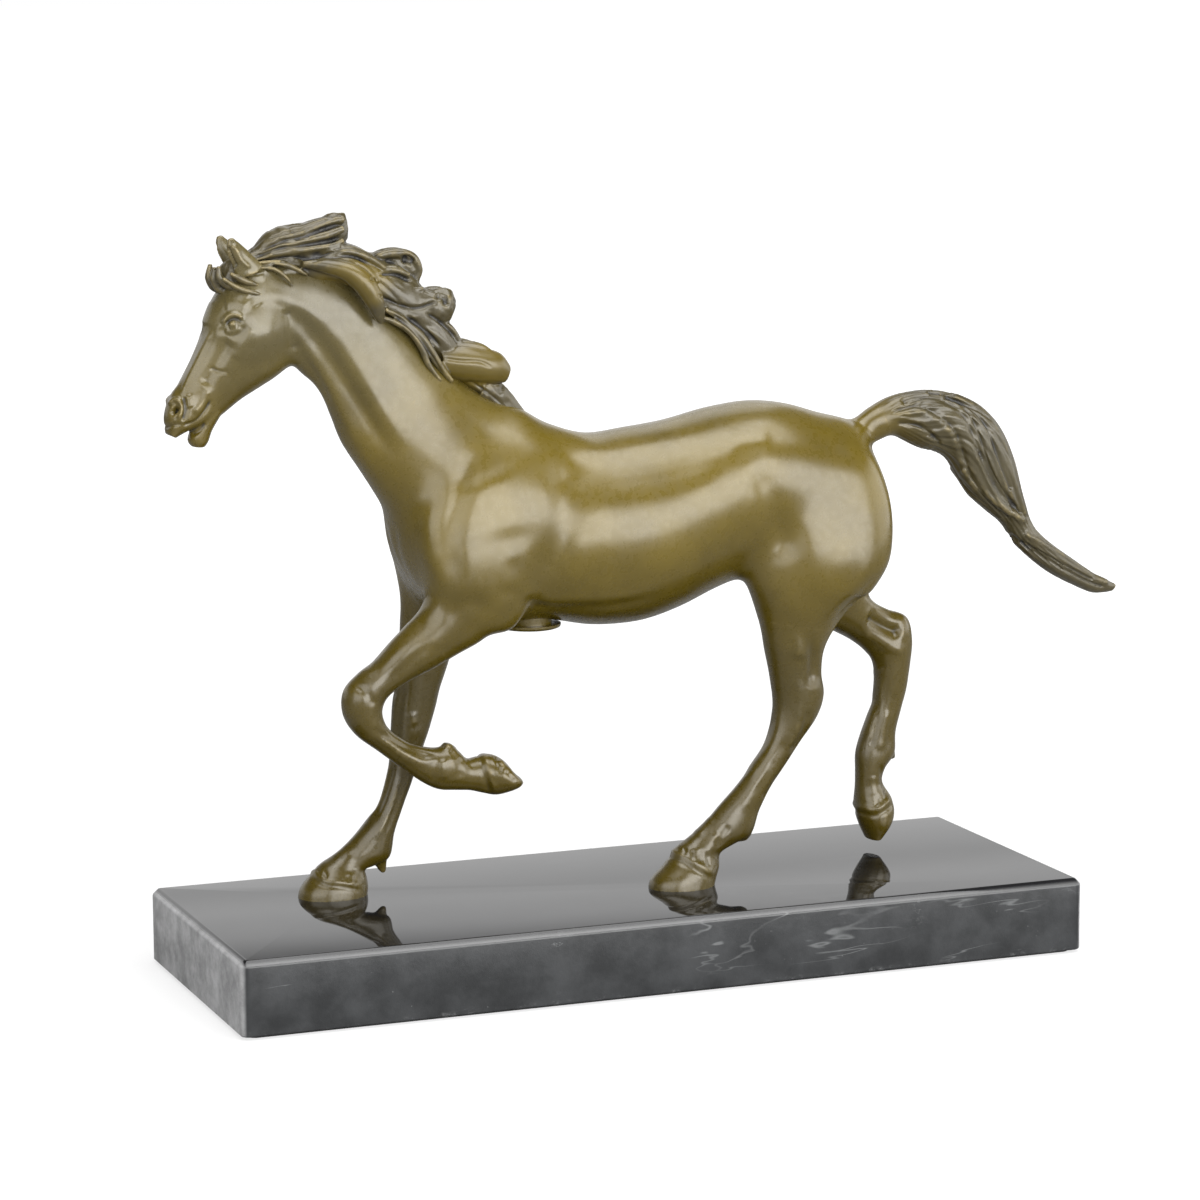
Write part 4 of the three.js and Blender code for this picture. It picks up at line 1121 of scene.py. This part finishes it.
# The thick locks, as stations like those of the body.
MANE_LOCKS = {
    "poll": [(-126.5, 244.5, -122, 239, 5, 0, 0), (-120, 251.8, -116, 240.5, 6, 0, 0),
             (-111.5, 254, -108, 239, 6, 0, 0), (-104, 254.6, -100.5, 240.5, 5.5, 1, 0),
             (-98, 257.1, -95, 245.5, 4.5, 2, 0), (-92.8, 256.8, -92, 248.8, 2.2, 3, 0)],
    "crest": [(-116, 245, -114, 238, 4, 0, 0), (-108, 247.5, -106, 234, 7.5, 0, 0),
              (-94, 247.5, -93, 230, 8.5, 1, 0),
              (-86, 244.5, -84, 224, 8.5, 1, 0), (-78, 240.3, -76, 217, 8.5, 0.5, 0),
              (-70, 235, -67, 209, 8, 0, 0), (-62, 224, -59, 202, 7.5, 0, 0),
              (-54, 212, -51, 197, 6, 0, 0), (-46, 203, -44, 191, 4, 0, 0)],
    "curl_upper": [(-85, 244, -82, 234, 4.5, 2, 0), (-77, 244.3, -74.5, 233, 5, 2, 0),
                   (-71, 242.8, -70, 232, 4.6, 1.5, 0), (-68.3, 237.5, -69.8, 230.5, 3, 1, 0)],
    "crescent": [(-111, 243, -110.5, 240.5, 1.6, -7, 0), (-103.5, 243.4, -104, 238.6, 3.2, -8.8, 0),
                 (-96, 242.2, -98.4, 236.4, 4, -10.4, 0), (-90, 238.6, -94, 232.4, 4.2, -11.6, 0),
                 (-86, 232.6, -90.6, 227.6, 3.8, -12.2, 0), (-84.6, 226.4, -88.4, 224, 2.4, -12.2, 0),
                 (-85, 221.6, -86.6, 221.8, 0.8, -12, 0)],
    "curl_lower": [(-75, 234, -71, 220, 5, -2, 0), (-66, 231.8, -63.5, 219, 5.4, -3, 0),
                   (-59.8, 231.7, -60, 220.5, 4.8, -3, 0), (-57, 227.5, -60.5, 219.5, 3, -3, 0)],
    "withers": [(-64, 214, -62, 202, 6, -2, 0), (-56, 213.6, -56, 201, 6.4, -3, 0),
                (-49, 212, -50, 200.2, 6, -3.5, 0), (-42, 209.8, -44.2, 199.8, 5, -3.5, 0),
                (-38.4, 205.4, -40.4, 199.8, 2.8, -3.5, 0)],
    "wisp": [(-47, 203, -50, 194, 4.5, -1, 0), (-40, 199, -43.5, 190.5, 3.8, -1, 0),
             (-32.8, 190.7, -36.5, 185, 3, 0, 0), (-28, 184.2, -31, 182.3, 1.6, 0, 0)],
    "forelock": [(-124, 246, -121, 240, 5, 0, 0), (-131, 244.5, -128, 236, 5.4, 0, 0),
                 (-136.2, 240.8, -132, 232, 4.8, 0, 0), (-138.2, 235.3, -134.2, 230.5, 3, 0, 0)],
}
# Single strands laid over the locks: line, half widths along it, depth.
MANE_STRANDS = [
    # the lock thrown back from the poll, in three tiers
    ([(-125, 245), (-116, 249.2), (-108, 251), (-101, 253.6), (-94, 255)], (0.9, 2.6, 1.3), -1.6),
    ([(-126, 243.4), (-117, 246.6), (-108, 248), (-100, 249.6), (-94, 251.6)], (0.9, 2.3, 1.2), -3.8),
    ([(-125, 242), (-114, 244.4), (-105, 245.4), (-98, 246), (-94, 247.8)], (0.8, 2.0, 0.9), -4.8),
    # along the crest
    ([(-107, 241.4), (-99, 243.6), (-92, 243.8), (-85, 241.4), (-80, 238)], (0.8, 2.1, 0.9), -5.8),
    ([(-108, 239.6), (-100, 241), (-93, 240.8), (-87, 238.2), (-82.6, 233.6)], (0.7, 1.7, 0.8), -7.6),
    ([(-86, 240), (-81, 242.8), (-75, 243.2), (-70.4, 241.4), (-68.4, 237.4), (-69.6, 233.6)],
     (1.0, 1.9, 0.8), -2.4),
    ([(-83, 238), (-77, 237.6), (-71.6, 235.6)], (0.9, 1.8, 0.9), -4.8),
    ([(-85, 234.6), (-78, 233.6), (-73, 230.8), (-67, 231)], (0.9, 1.9, 0.9), -6.0),
    # second curl
    ([(-81, 230.6), (-74, 228), (-68, 227.4), (-62, 229.4), (-58, 229.4), (-57, 225.6)],
     (1.0, 2.1, 0.9), -4.4),
    ([(-82.4, 227), (-76, 223.8), (-70, 222.2), (-64, 223.6), (-59, 224.6)], (0.9, 2.0, 1.0), -6.6),
    # the edge lying on the neck
    ([(-83, 222.4), (-77, 220.4), (-71.5, 217.2), (-67.6, 212), (-65.2, 206), (-61, 200.4)],
     (0.6, 1.4, 0.6), -9.6),
    ([(-80, 224.6), (-74, 221), (-69, 216.4), (-64.8, 210.6), (-61, 205), (-57, 200)],
     (0.8, 1.9, 0.8), -8.4),
    ([(-75, 221.6), (-67, 218.2), (-61, 214.4), (-56.4, 209.6)], (0.9, 2.0, 0.9), -6.8),
    ([(-71, 227), (-64, 221.6), (-58, 217.6), (-54, 212.6)], (0.9, 1.9, 0.9), -5.6),
    # the lock on the withers and its wisp
    ([(-63, 210.6), (-55, 212.4), (-47, 211), (-41, 206.8)], (0.9, 1.7, 0.8), -5.4),
    ([(-54, 201.6), (-46, 197), (-38.4, 190.4), (-31.6, 184.4)], (0.8, 1.6, 0.6), -3.8),
    ([(-50, 203), (-42, 197.8), (-35, 191), (-29, 184)], (0.8, 1.4, 0.5), -1.2),
    # forelock and the hair below the ear
    ([(-137.6, 240.6), (-138, 237), (-136.6, 233.8), (-134, 232)], (0.7, 1.5, 0.7), -3.0),
    ([(-136, 240.6), (-135.6, 236.6), (-131.6, 233.6), (-126.6, 232)], (0.7, 1.6, 0.6), -5.4),
    ([(-134.4, 236.4), (-129, 233), (-124, 231.4), (-120.6, 230.4)], (0.6, 1.1, 0.4), -8.8),
    ([(-132, 238), (-127, 235.4), (-122.5, 233.8)], (0.6, 1.3, 0.5), -8.0),
    ([(-123, 239.6), (-117.6, 239), (-113.4, 236.2), (-111, 233)], (0.5, 0.8, 0.3), -8.2),
    ([(-123, 241), (-116, 241), (-110, 238.8), (-106, 236.6)], (0.6, 1.1, 0.4), -7.4),
]
MANE_MARKS = [
    ([(-125, 244.2), (-116, 247.8), (-108, 249.4), (-101, 251.6), (-95, 253.4)], 0.6, -1.0),
    ([(-121, 249), (-112, 251), (-104, 253), (-97, 255.6)], 0.5, -0.5),
    ([(-126, 242.6), (-116, 245.4), (-106, 246.6), (-98, 247.8), (-94, 249.6)], 0.6, -0.9),
    ([(-120, 246), (-111, 248), (-104, 249)], 0.4, -0.4),
    ([(-126, 240.6), (-114, 242), (-104, 242.8), (-94, 244.6)], 0.9, -1.6),
    ([(-106, 240.4), (-98, 242.2), (-91, 242.2), (-85, 239.8)], 0.5, -0.7),
    ([(-98, 245), (-91, 245.2), (-85, 243.2), (-80, 240.4)], 0.5, -0.6),
    ([(-83.8, 234.4), (-83.2, 233.8)], 0.5, -0.6),
    ([(-74.4, 240.8), (-72, 241.4), (-70, 239.8)], 1.0, -1.3),
    ([(-80, 241), (-76, 240)], 0.5, -0.5),
    ([(-82, 236.2), (-76, 235.8), (-71, 233.4)], 0.6, -0.8),
    ([(-82, 229), (-75, 225.8), (-69, 224.6), (-62, 226.6)], 0.6, -0.9),
    ([(-62.6, 228.6), (-59.6, 227.6), (-58.8, 225)], 0.9, -1.1),
    ([(-79, 224), (-73, 219.6), (-68, 214.6), (-63.6, 208), (-60, 202)], 0.5, -0.6),
    ([(-73, 222.4), (-66, 217), (-60.6, 211)], 0.6, -0.8),
    ([(-66, 223), (-60, 219), (-55.4, 214)], 0.6, -0.7),
    ([(-61, 208), (-54, 206.6), (-47, 206), (-42.6, 203.6)], 0.6, -0.35),
    ([(-52, 200.6), (-44, 195.4), (-36, 188.4), (-30.6, 184)], 0.5, -0.7),
]


SMOOTH_LOCKS = ("crescent", "withers")   # the locks without combed strands
STRAND_SINK = 0.93                       # the strands lie this much closer in than drawn


def mane_skin():
    """Locks and strands fused, then combed."""
    voxel = 0.385
    masses = []
    for seed, (name, stations) in enumerate(MANE_LOCKS.items()):
        hair = None if name in SMOOTH_LOCKS else (0.6, 8, 0.7, seed + 1)
        masses.append(loft(stations, 96, 10, hair=hair))
    masses.append(loft(other_side(MANE_LOCKS["crescent"]), 64, 10))
    for path, widths, y in MANE_STRANDS:
        rows = strand(path, widths, STRAND_SINK * y)
        masses += [loft(rows, 20, 5), loft(other_side(rows), 20, 5)]
    mane = fuse("mane_skin", masses, voxel)
    relax(mane, 1.15, voxel)
    strokes(mane, MANE_MARKS, taper=0.15)
    relax(mane, 0.36, voxel)
    points = get_points(mane)
    smooth = np.maximum(within(points, (-50, 206), (16, 9)), within(points, (-94, 235), (15, 9)))
    record_hair(mane, 1 - 0.85 * smooth)
    record_relief(mane, 1.18, voxel, 0.7)
    finished(mane, BRONZE_HAIR, "mane_casting", slot="bronze_mane")


mane_skin()

TAIL_MARKS = [
    ([(108, 186.5), (118, 187.6), (125, 185), (131, 180), (135, 172), (139, 162), (143, 155),
      (150, 147)], 1.1, -0.9),
    ([(104, 183), (112, 184.6), (120, 181), (127, 175), (131, 165), (134, 158), (140, 150.5),
      (148, 144)], 1.1, -0.9),
    ([(118, 189.2), (126, 187), (132.4, 181.5), (136.6, 173), (141, 161), (147, 152), (153, 145)],
     0.7, -0.8),
    ([(104, 181), (114, 182.6), (121, 179.4), (127, 172), (131, 163), (136, 155)], 1.8, 0.5),
    ([(128, 187.4), (137, 183), (143, 176), (147, 168), (151, 156), (155, 145)], 1.0, 0.6),
    ([(124, 187), (133, 183), (139.6, 176), (144, 165), (149, 154)], 0.6, -0.8),
    ([(131, 161), (136, 155), (141, 151), (147, 146.6), (154, 142.4)], 1.1, 0.9),
    ([(106, 178.6), (114, 177), (121, 171.6)], 0.8, -0.9),
    ([(150, 137), (158, 131), (168, 125.4), (178, 120), (186, 117)], 0.9, -0.8),
    ([(156, 137), (164, 132.6), (172, 128), (180, 123), (188, 118.4)], 1.0, 0.7),
    ([(154, 134.6), (163, 129.6), (172, 124.8), (182, 119.8)], 0.6, -0.7),
]


def tail_skin():
    """Combed tail, smooth where it leaves the rump."""
    voxel = 0.36
    masses = [loft(TAIL, 120, 10, hair=(0.6, 21, 0.6, 3))]
    tail = fuse("tail_skin", masses, voxel)
    relax(tail, 0.5, voxel)
    strokes(tail, TAIL_MARKS)
    relax(tail, 0.36, voxel)
    at, run, radius = JOINTS["tail"]
    meet(tail, body_tree, at, run, 7, radius)
    cut_beyond(tail, at, run, keep="after")
    past = (get_points(tail) - np.array(at)) @ np.array(run)
    record_hair(tail, np.clip(past / 14, 0, 1))
    record_relief(tail, 1.0, voxel, 0.7)
    finished(tail, BRONZE_HAIR, "tail_casting", slot="bronze_mane")


tail_skin()


# ------------------------------------------------------------------ marble, felt and fixings
def cut_by(thing, cutter, operation="DIFFERENCE"):
    """Cuts a piece with another, which is used up."""
    boolean = thing.modifiers.new("cut", "BOOLEAN")
    boolean.operation = operation
    boolean.solver = "EXACT"
    boolean.object = cutter
    alone(thing)
    bpy.ops.object.modifier_apply(modifier=boolean.name)
    bpy.data.objects.remove(cutter)


def pick_edges(thing, test):
    """In edit mode: selects the edges whose two ends pass the test."""
    bpy.ops.mesh.select_all(action="DESELECT")
    mesh = bmesh.from_edit_mesh(thing.data)
    for edge in mesh.edges:
        if test(edge.verts[0].co, edge.verts[1].co):
            edge.select_set(True)
    bmesh.update_edit_mesh(thing.data)


NEAR = 1e-6   # metres; heights closer than this are the same
RIM = 0.22    # the rounding of a chamfer's rims, as a share of the chamfer


def slab(name, length, depth, low, high, corner, upper, lower):
    """Block with rounded upright corners and its long edges broken; all in mm."""
    bpy.ops.object.select_all(action="DESELECT")
    bpy.ops.mesh.primitive_cube_add(size=MM)
    block = bpy.context.object
    block.name = name
    bpy.ops.object.mode_set(mode="EDIT")
    bpy.ops.transform.resize(value=(length, depth, high - low))
    bpy.ops.transform.translate(value=(0, 0, (high + low) / 2 * MM))
    bpy.ops.mesh.select_mode(type="EDGE")
    pick_edges(block, lambda a, b: abs(a.z - b.z) > (high - low) * 0.9 * MM)
    bpy.ops.mesh.bevel(offset=corner * MM, segments=8, affect="EDGES")
    for level, size in ((high, upper), (low, lower)):
        if not size:
            continue
        face = level * MM
        pick_edges(block, lambda a, b: max(abs(a.z - face), abs(b.z - face)) < NEAR)
        bpy.ops.mesh.bevel(offset=size * MM, segments=1, affect="EDGES")
        # both rims of the chamfer are eased in turn
        pick_edges(block, lambda a, b: abs(a.z - b.z) < NEAR
                   and min(abs(a.z - face), abs(abs(a.z - face) - size * MM)) < NEAR)
        bpy.ops.mesh.bevel(offset=size * RIM * MM, segments=3, affect="EDGES")
    bpy.ops.mesh.select_all(action="SELECT")
    bpy.ops.mesh.normals_make_consistent(inside=False)
    bpy.ops.object.mode_set(mode="OBJECT")
    return block


def bored(thing, x, y, low, high, radius):
    """Drills upright from low to high, in mm."""
    bpy.ops.mesh.primitive_cylinder_add(vertices=64, radius=radius * MM, depth=(high - low) * MM,
                                        location=(x * MM, y * MM, (low + high) / 2 * MM))
    cut_by(thing, bpy.context.object)


def turned(name, x, y, profile):
    """Ring or bar turned on a lathe: profile in (radius, height) mm, closed."""
    mesh = bpy.data.meshes.new(name)
    mesh.from_pydata([(x * MM + r * MM, y * MM, z * MM) for r, z in profile],
                     [(i, (i + 1) % len(profile)) for i in range(len(profile))], [])
    thing = bpy.data.objects.new(name, mesh)
    bpy.context.collection.objects.link(thing)
    alone(thing)
    bpy.ops.object.mode_set(mode="EDIT")
    bpy.ops.mesh.select_all(action="SELECT")
    bpy.ops.mesh.spin(steps=48, angle=2 * math.pi, center=(x * MM, y * MM, 0), axis=(0, 0, 1))
    bpy.ops.mesh.select_all(action="SELECT")
    bpy.ops.mesh.remove_doubles(threshold=1e-6)
    bpy.ops.mesh.normals_make_consistent(inside=False)
    bpy.ops.object.mode_set(mode="OBJECT")
    bpy.ops.object.shade_smooth_by_angle(angle=math.radians(35))
    return thing


FIXINGS = {"front": (-93.5, 20.0), "hind": (20.5, -12.0)}
base = slab("marble_slab", 300, 110, 1, TOP, 3, 2.0, 0.5)
felt = slab("felt_pad", 294, 104, 0, 1, 3, 0, 0)
for x, y in FIXINGS.values():
    bored(base, x, y, -1, 12, 10)
    bored(base, x, y, 10, 30, 3.5)
    bored(felt, x, y, -1, 2, 11)
for slab_piece in (base, felt):
    alone(slab_piece)
    bpy.ops.object.shade_smooth_by_angle(angle=math.radians(30))
hand_over(base, MARBLE, "marble_base", slot="marble")
hand_over(felt, FELT, "felt_sheet", slot="felt")


def thread(low, high, radius, pitch=1.0, depth=0.32):
    """Outline of a threaded bar from its axis out and back."""
    outline = [(0, low), (radius - depth - 0.4, low)]
    z = low + 0.4
    while z < high - pitch:
        outline += [(radius - depth, z), (radius, z + pitch * 0.5)]
        z += pitch
    return outline + [(radius - depth, z), (radius - depth - 0.4, high), (0, high)]


def fixing(end, x, y):
    """Stud, washer and nut that hold one standing leg to the marble."""
    stud = turned(end + "_threaded_stud", x, y, thread(3.4, 35, 3.0))
    washer = turned(end + "_plain_washer", x, y, [(3.3, 10.4), (6.8, 10.4), (7, 10.6), (7, 11.8),
                                                  (6.8, 12), (3.3, 12)])
    bpy.ops.object.select_all(action="DESELECT")
    bpy.ops.mesh.primitive_cylinder_add(vertices=6, radius=10 / math.sqrt(3) * MM, depth=5 * MM,
                                        location=(x * MM, y * MM, 7.9 * MM))
    nut = bpy.context.object
    nut.name = end + "_hexagon_nut"
    bpy.ops.object.transform_apply(location=True, rotation=True, scale=True)
    rounded = turned("rounding", x, y, [(0, 5.4), (4.8, 5.4), (5.85, 6.1), (5.85, 9.7), (4.8, 10.4),
                                        (0, 10.4)])
    cut_by(nut, rounded, "INTERSECT")
    bored(nut, x, y, 5, 11, 3.3)
    alone(nut)
    bpy.ops.object.shade_smooth_by_angle(angle=math.radians(25))
    for piece, cad in ((stud, "_stud"), (washer, "_washer"), (nut, "_nut")):
        hand_over(piece, STEEL, end + cad, slot="steel")


for end, (x, y) in FIXINGS.items():
    fixing(end, x, y)

plug = turned("core_plug_cap", -31, HORSE_Y, [(0, 116.5), (9.6, 116.5), (10.4, 116.8), (10.8, 117.3),
                                              (10.8, 118), (7.7, 118), (7.7, 122.6), (7.3, 123),
                                              (0, 123)])
hand_over(plug, BRONZE, "core_plug", slot="bronze")
for name in ("foreleg_left_pin", "foreleg_right_pin", "hindleg_left_pin", "hindleg_right_pin",
             "tail_pin", "neck_pin_left", "neck_pin_right"):
    pin = bpy.data.objects[name]
    pin.data.materials.clear()
    pin.data.materials.append(BRONZE)

# ------------------------------------------------------------------ floor, light, studio
def softbox(name, place, target, size, power):
    """Rectangular lamp turned to its target; metres and watts."""
    bpy.ops.object.light_add(type="AREA", location=place)
    lamp = bpy.context.object
    lamp.name = name
    lamp.data.shape = "RECTANGLE"
    lamp.data.size, lamp.data.size_y = size
    lamp.data.energy = power
    aim = Vector(target) - Vector(place)
    lamp.rotation_euler = aim.to_track_quat("-Z", "Y").to_euler()


def studio():
    """Pale floor, white walls seen only by the camera, and five soft boxes."""
    bpy.ops.object.select_all(action="DESELECT")
    bpy.ops.mesh.primitive_plane_add(size=60)
    floor = bpy.context.object
    floor.name = "floor"
    material, tree, shader = principled("pale_floor")
    shader.inputs["Base Color"].default_value = (0.3, 0.3, 0.3, 1)
    shader.inputs["Roughness"].default_value = 0.9
    shader.inputs["Specular IOR Level"].default_value = 0.0
    # seen directly it is white paper; in reflections it stays a quiet grey
    direct = node(tree, "ShaderNodeLightPath").outputs["Is Camera Ray"]
    far = node(tree, "ShaderNodeVectorMath", operation="LENGTH")
    tree.links.new(object_place(tree), far.inputs[0])
    glow = remap(tree, far.outputs["Value"], 0.2, 1.2, 0.7, 1.0)
    tree.links.new(maths(tree, "MULTIPLY", direct, glow), shader.inputs["Emission Strength"])
    shader.inputs["Emission Color"].default_value = (1, 1, 1, 1)
    floor.data.materials.append(material)

    world = bpy.data.worlds.new("studio")
    world.use_nodes = True
    tree = world.node_tree
    backing = tree.nodes["Background"]
    split = node(tree, "ShaderNodeSeparateXYZ")
    tree.links.new(node(tree, "ShaderNodeTexCoord").outputs["Generated"], split.inputs["Vector"])
    height = split.outputs["Z"]
    low = remap(tree, height, 0.19, 0.27, 0.84, 1.12)
    walls = maths(tree, "MULTIPLY", low, remap(tree, height, 0.32, 0.46, 1.0, 0.14))
    behind = remap(tree, split.outputs["Y"], 0.25, 0.6, 0.3, 1.0)
    walls = maths(tree, "MULTIPLY", walls, behind)
    seen = node(tree, "ShaderNodeLightPath").outputs["Is Camera Ray"]
    level = node(tree, "ShaderNodeMix", data_type="FLOAT")
    tree.links.new(seen, level.inputs[0])
    tree.links.new(walls, level.inputs[2])
    level.inputs[3].default_value = 1.0
    tree.links.new(level.outputs[0], backing.inputs["Strength"])
    backing.inputs["Color"].default_value = (1, 1, 1, 1)
    bpy.context.scene.world = world

    softbox("front_box", (0.6, -1.9, 0.62), (0, 0, 0.14), (2.2, 1.2), 42)
    softbox("top_box", (0.1, -0.45, 1.9), (0, 0, 0.1), (2.0, 1.3), 36)
    softbox("rear_box", (0.3, 1.5, 1.5), (0, 0, 0.15), (1.6, 1.0), 6)
    softbox("right_box", (2.0, -0.35, 0.62), (0, 0, 0.15), (1.9, 1.1), 13)
    softbox("left_box", (-1.35, -1.35, 0.75), (0, 0, 0.16), (1.8, 1.4), 20)


studio()
bpy.context.scene.view_settings.view_transform = "Standard"
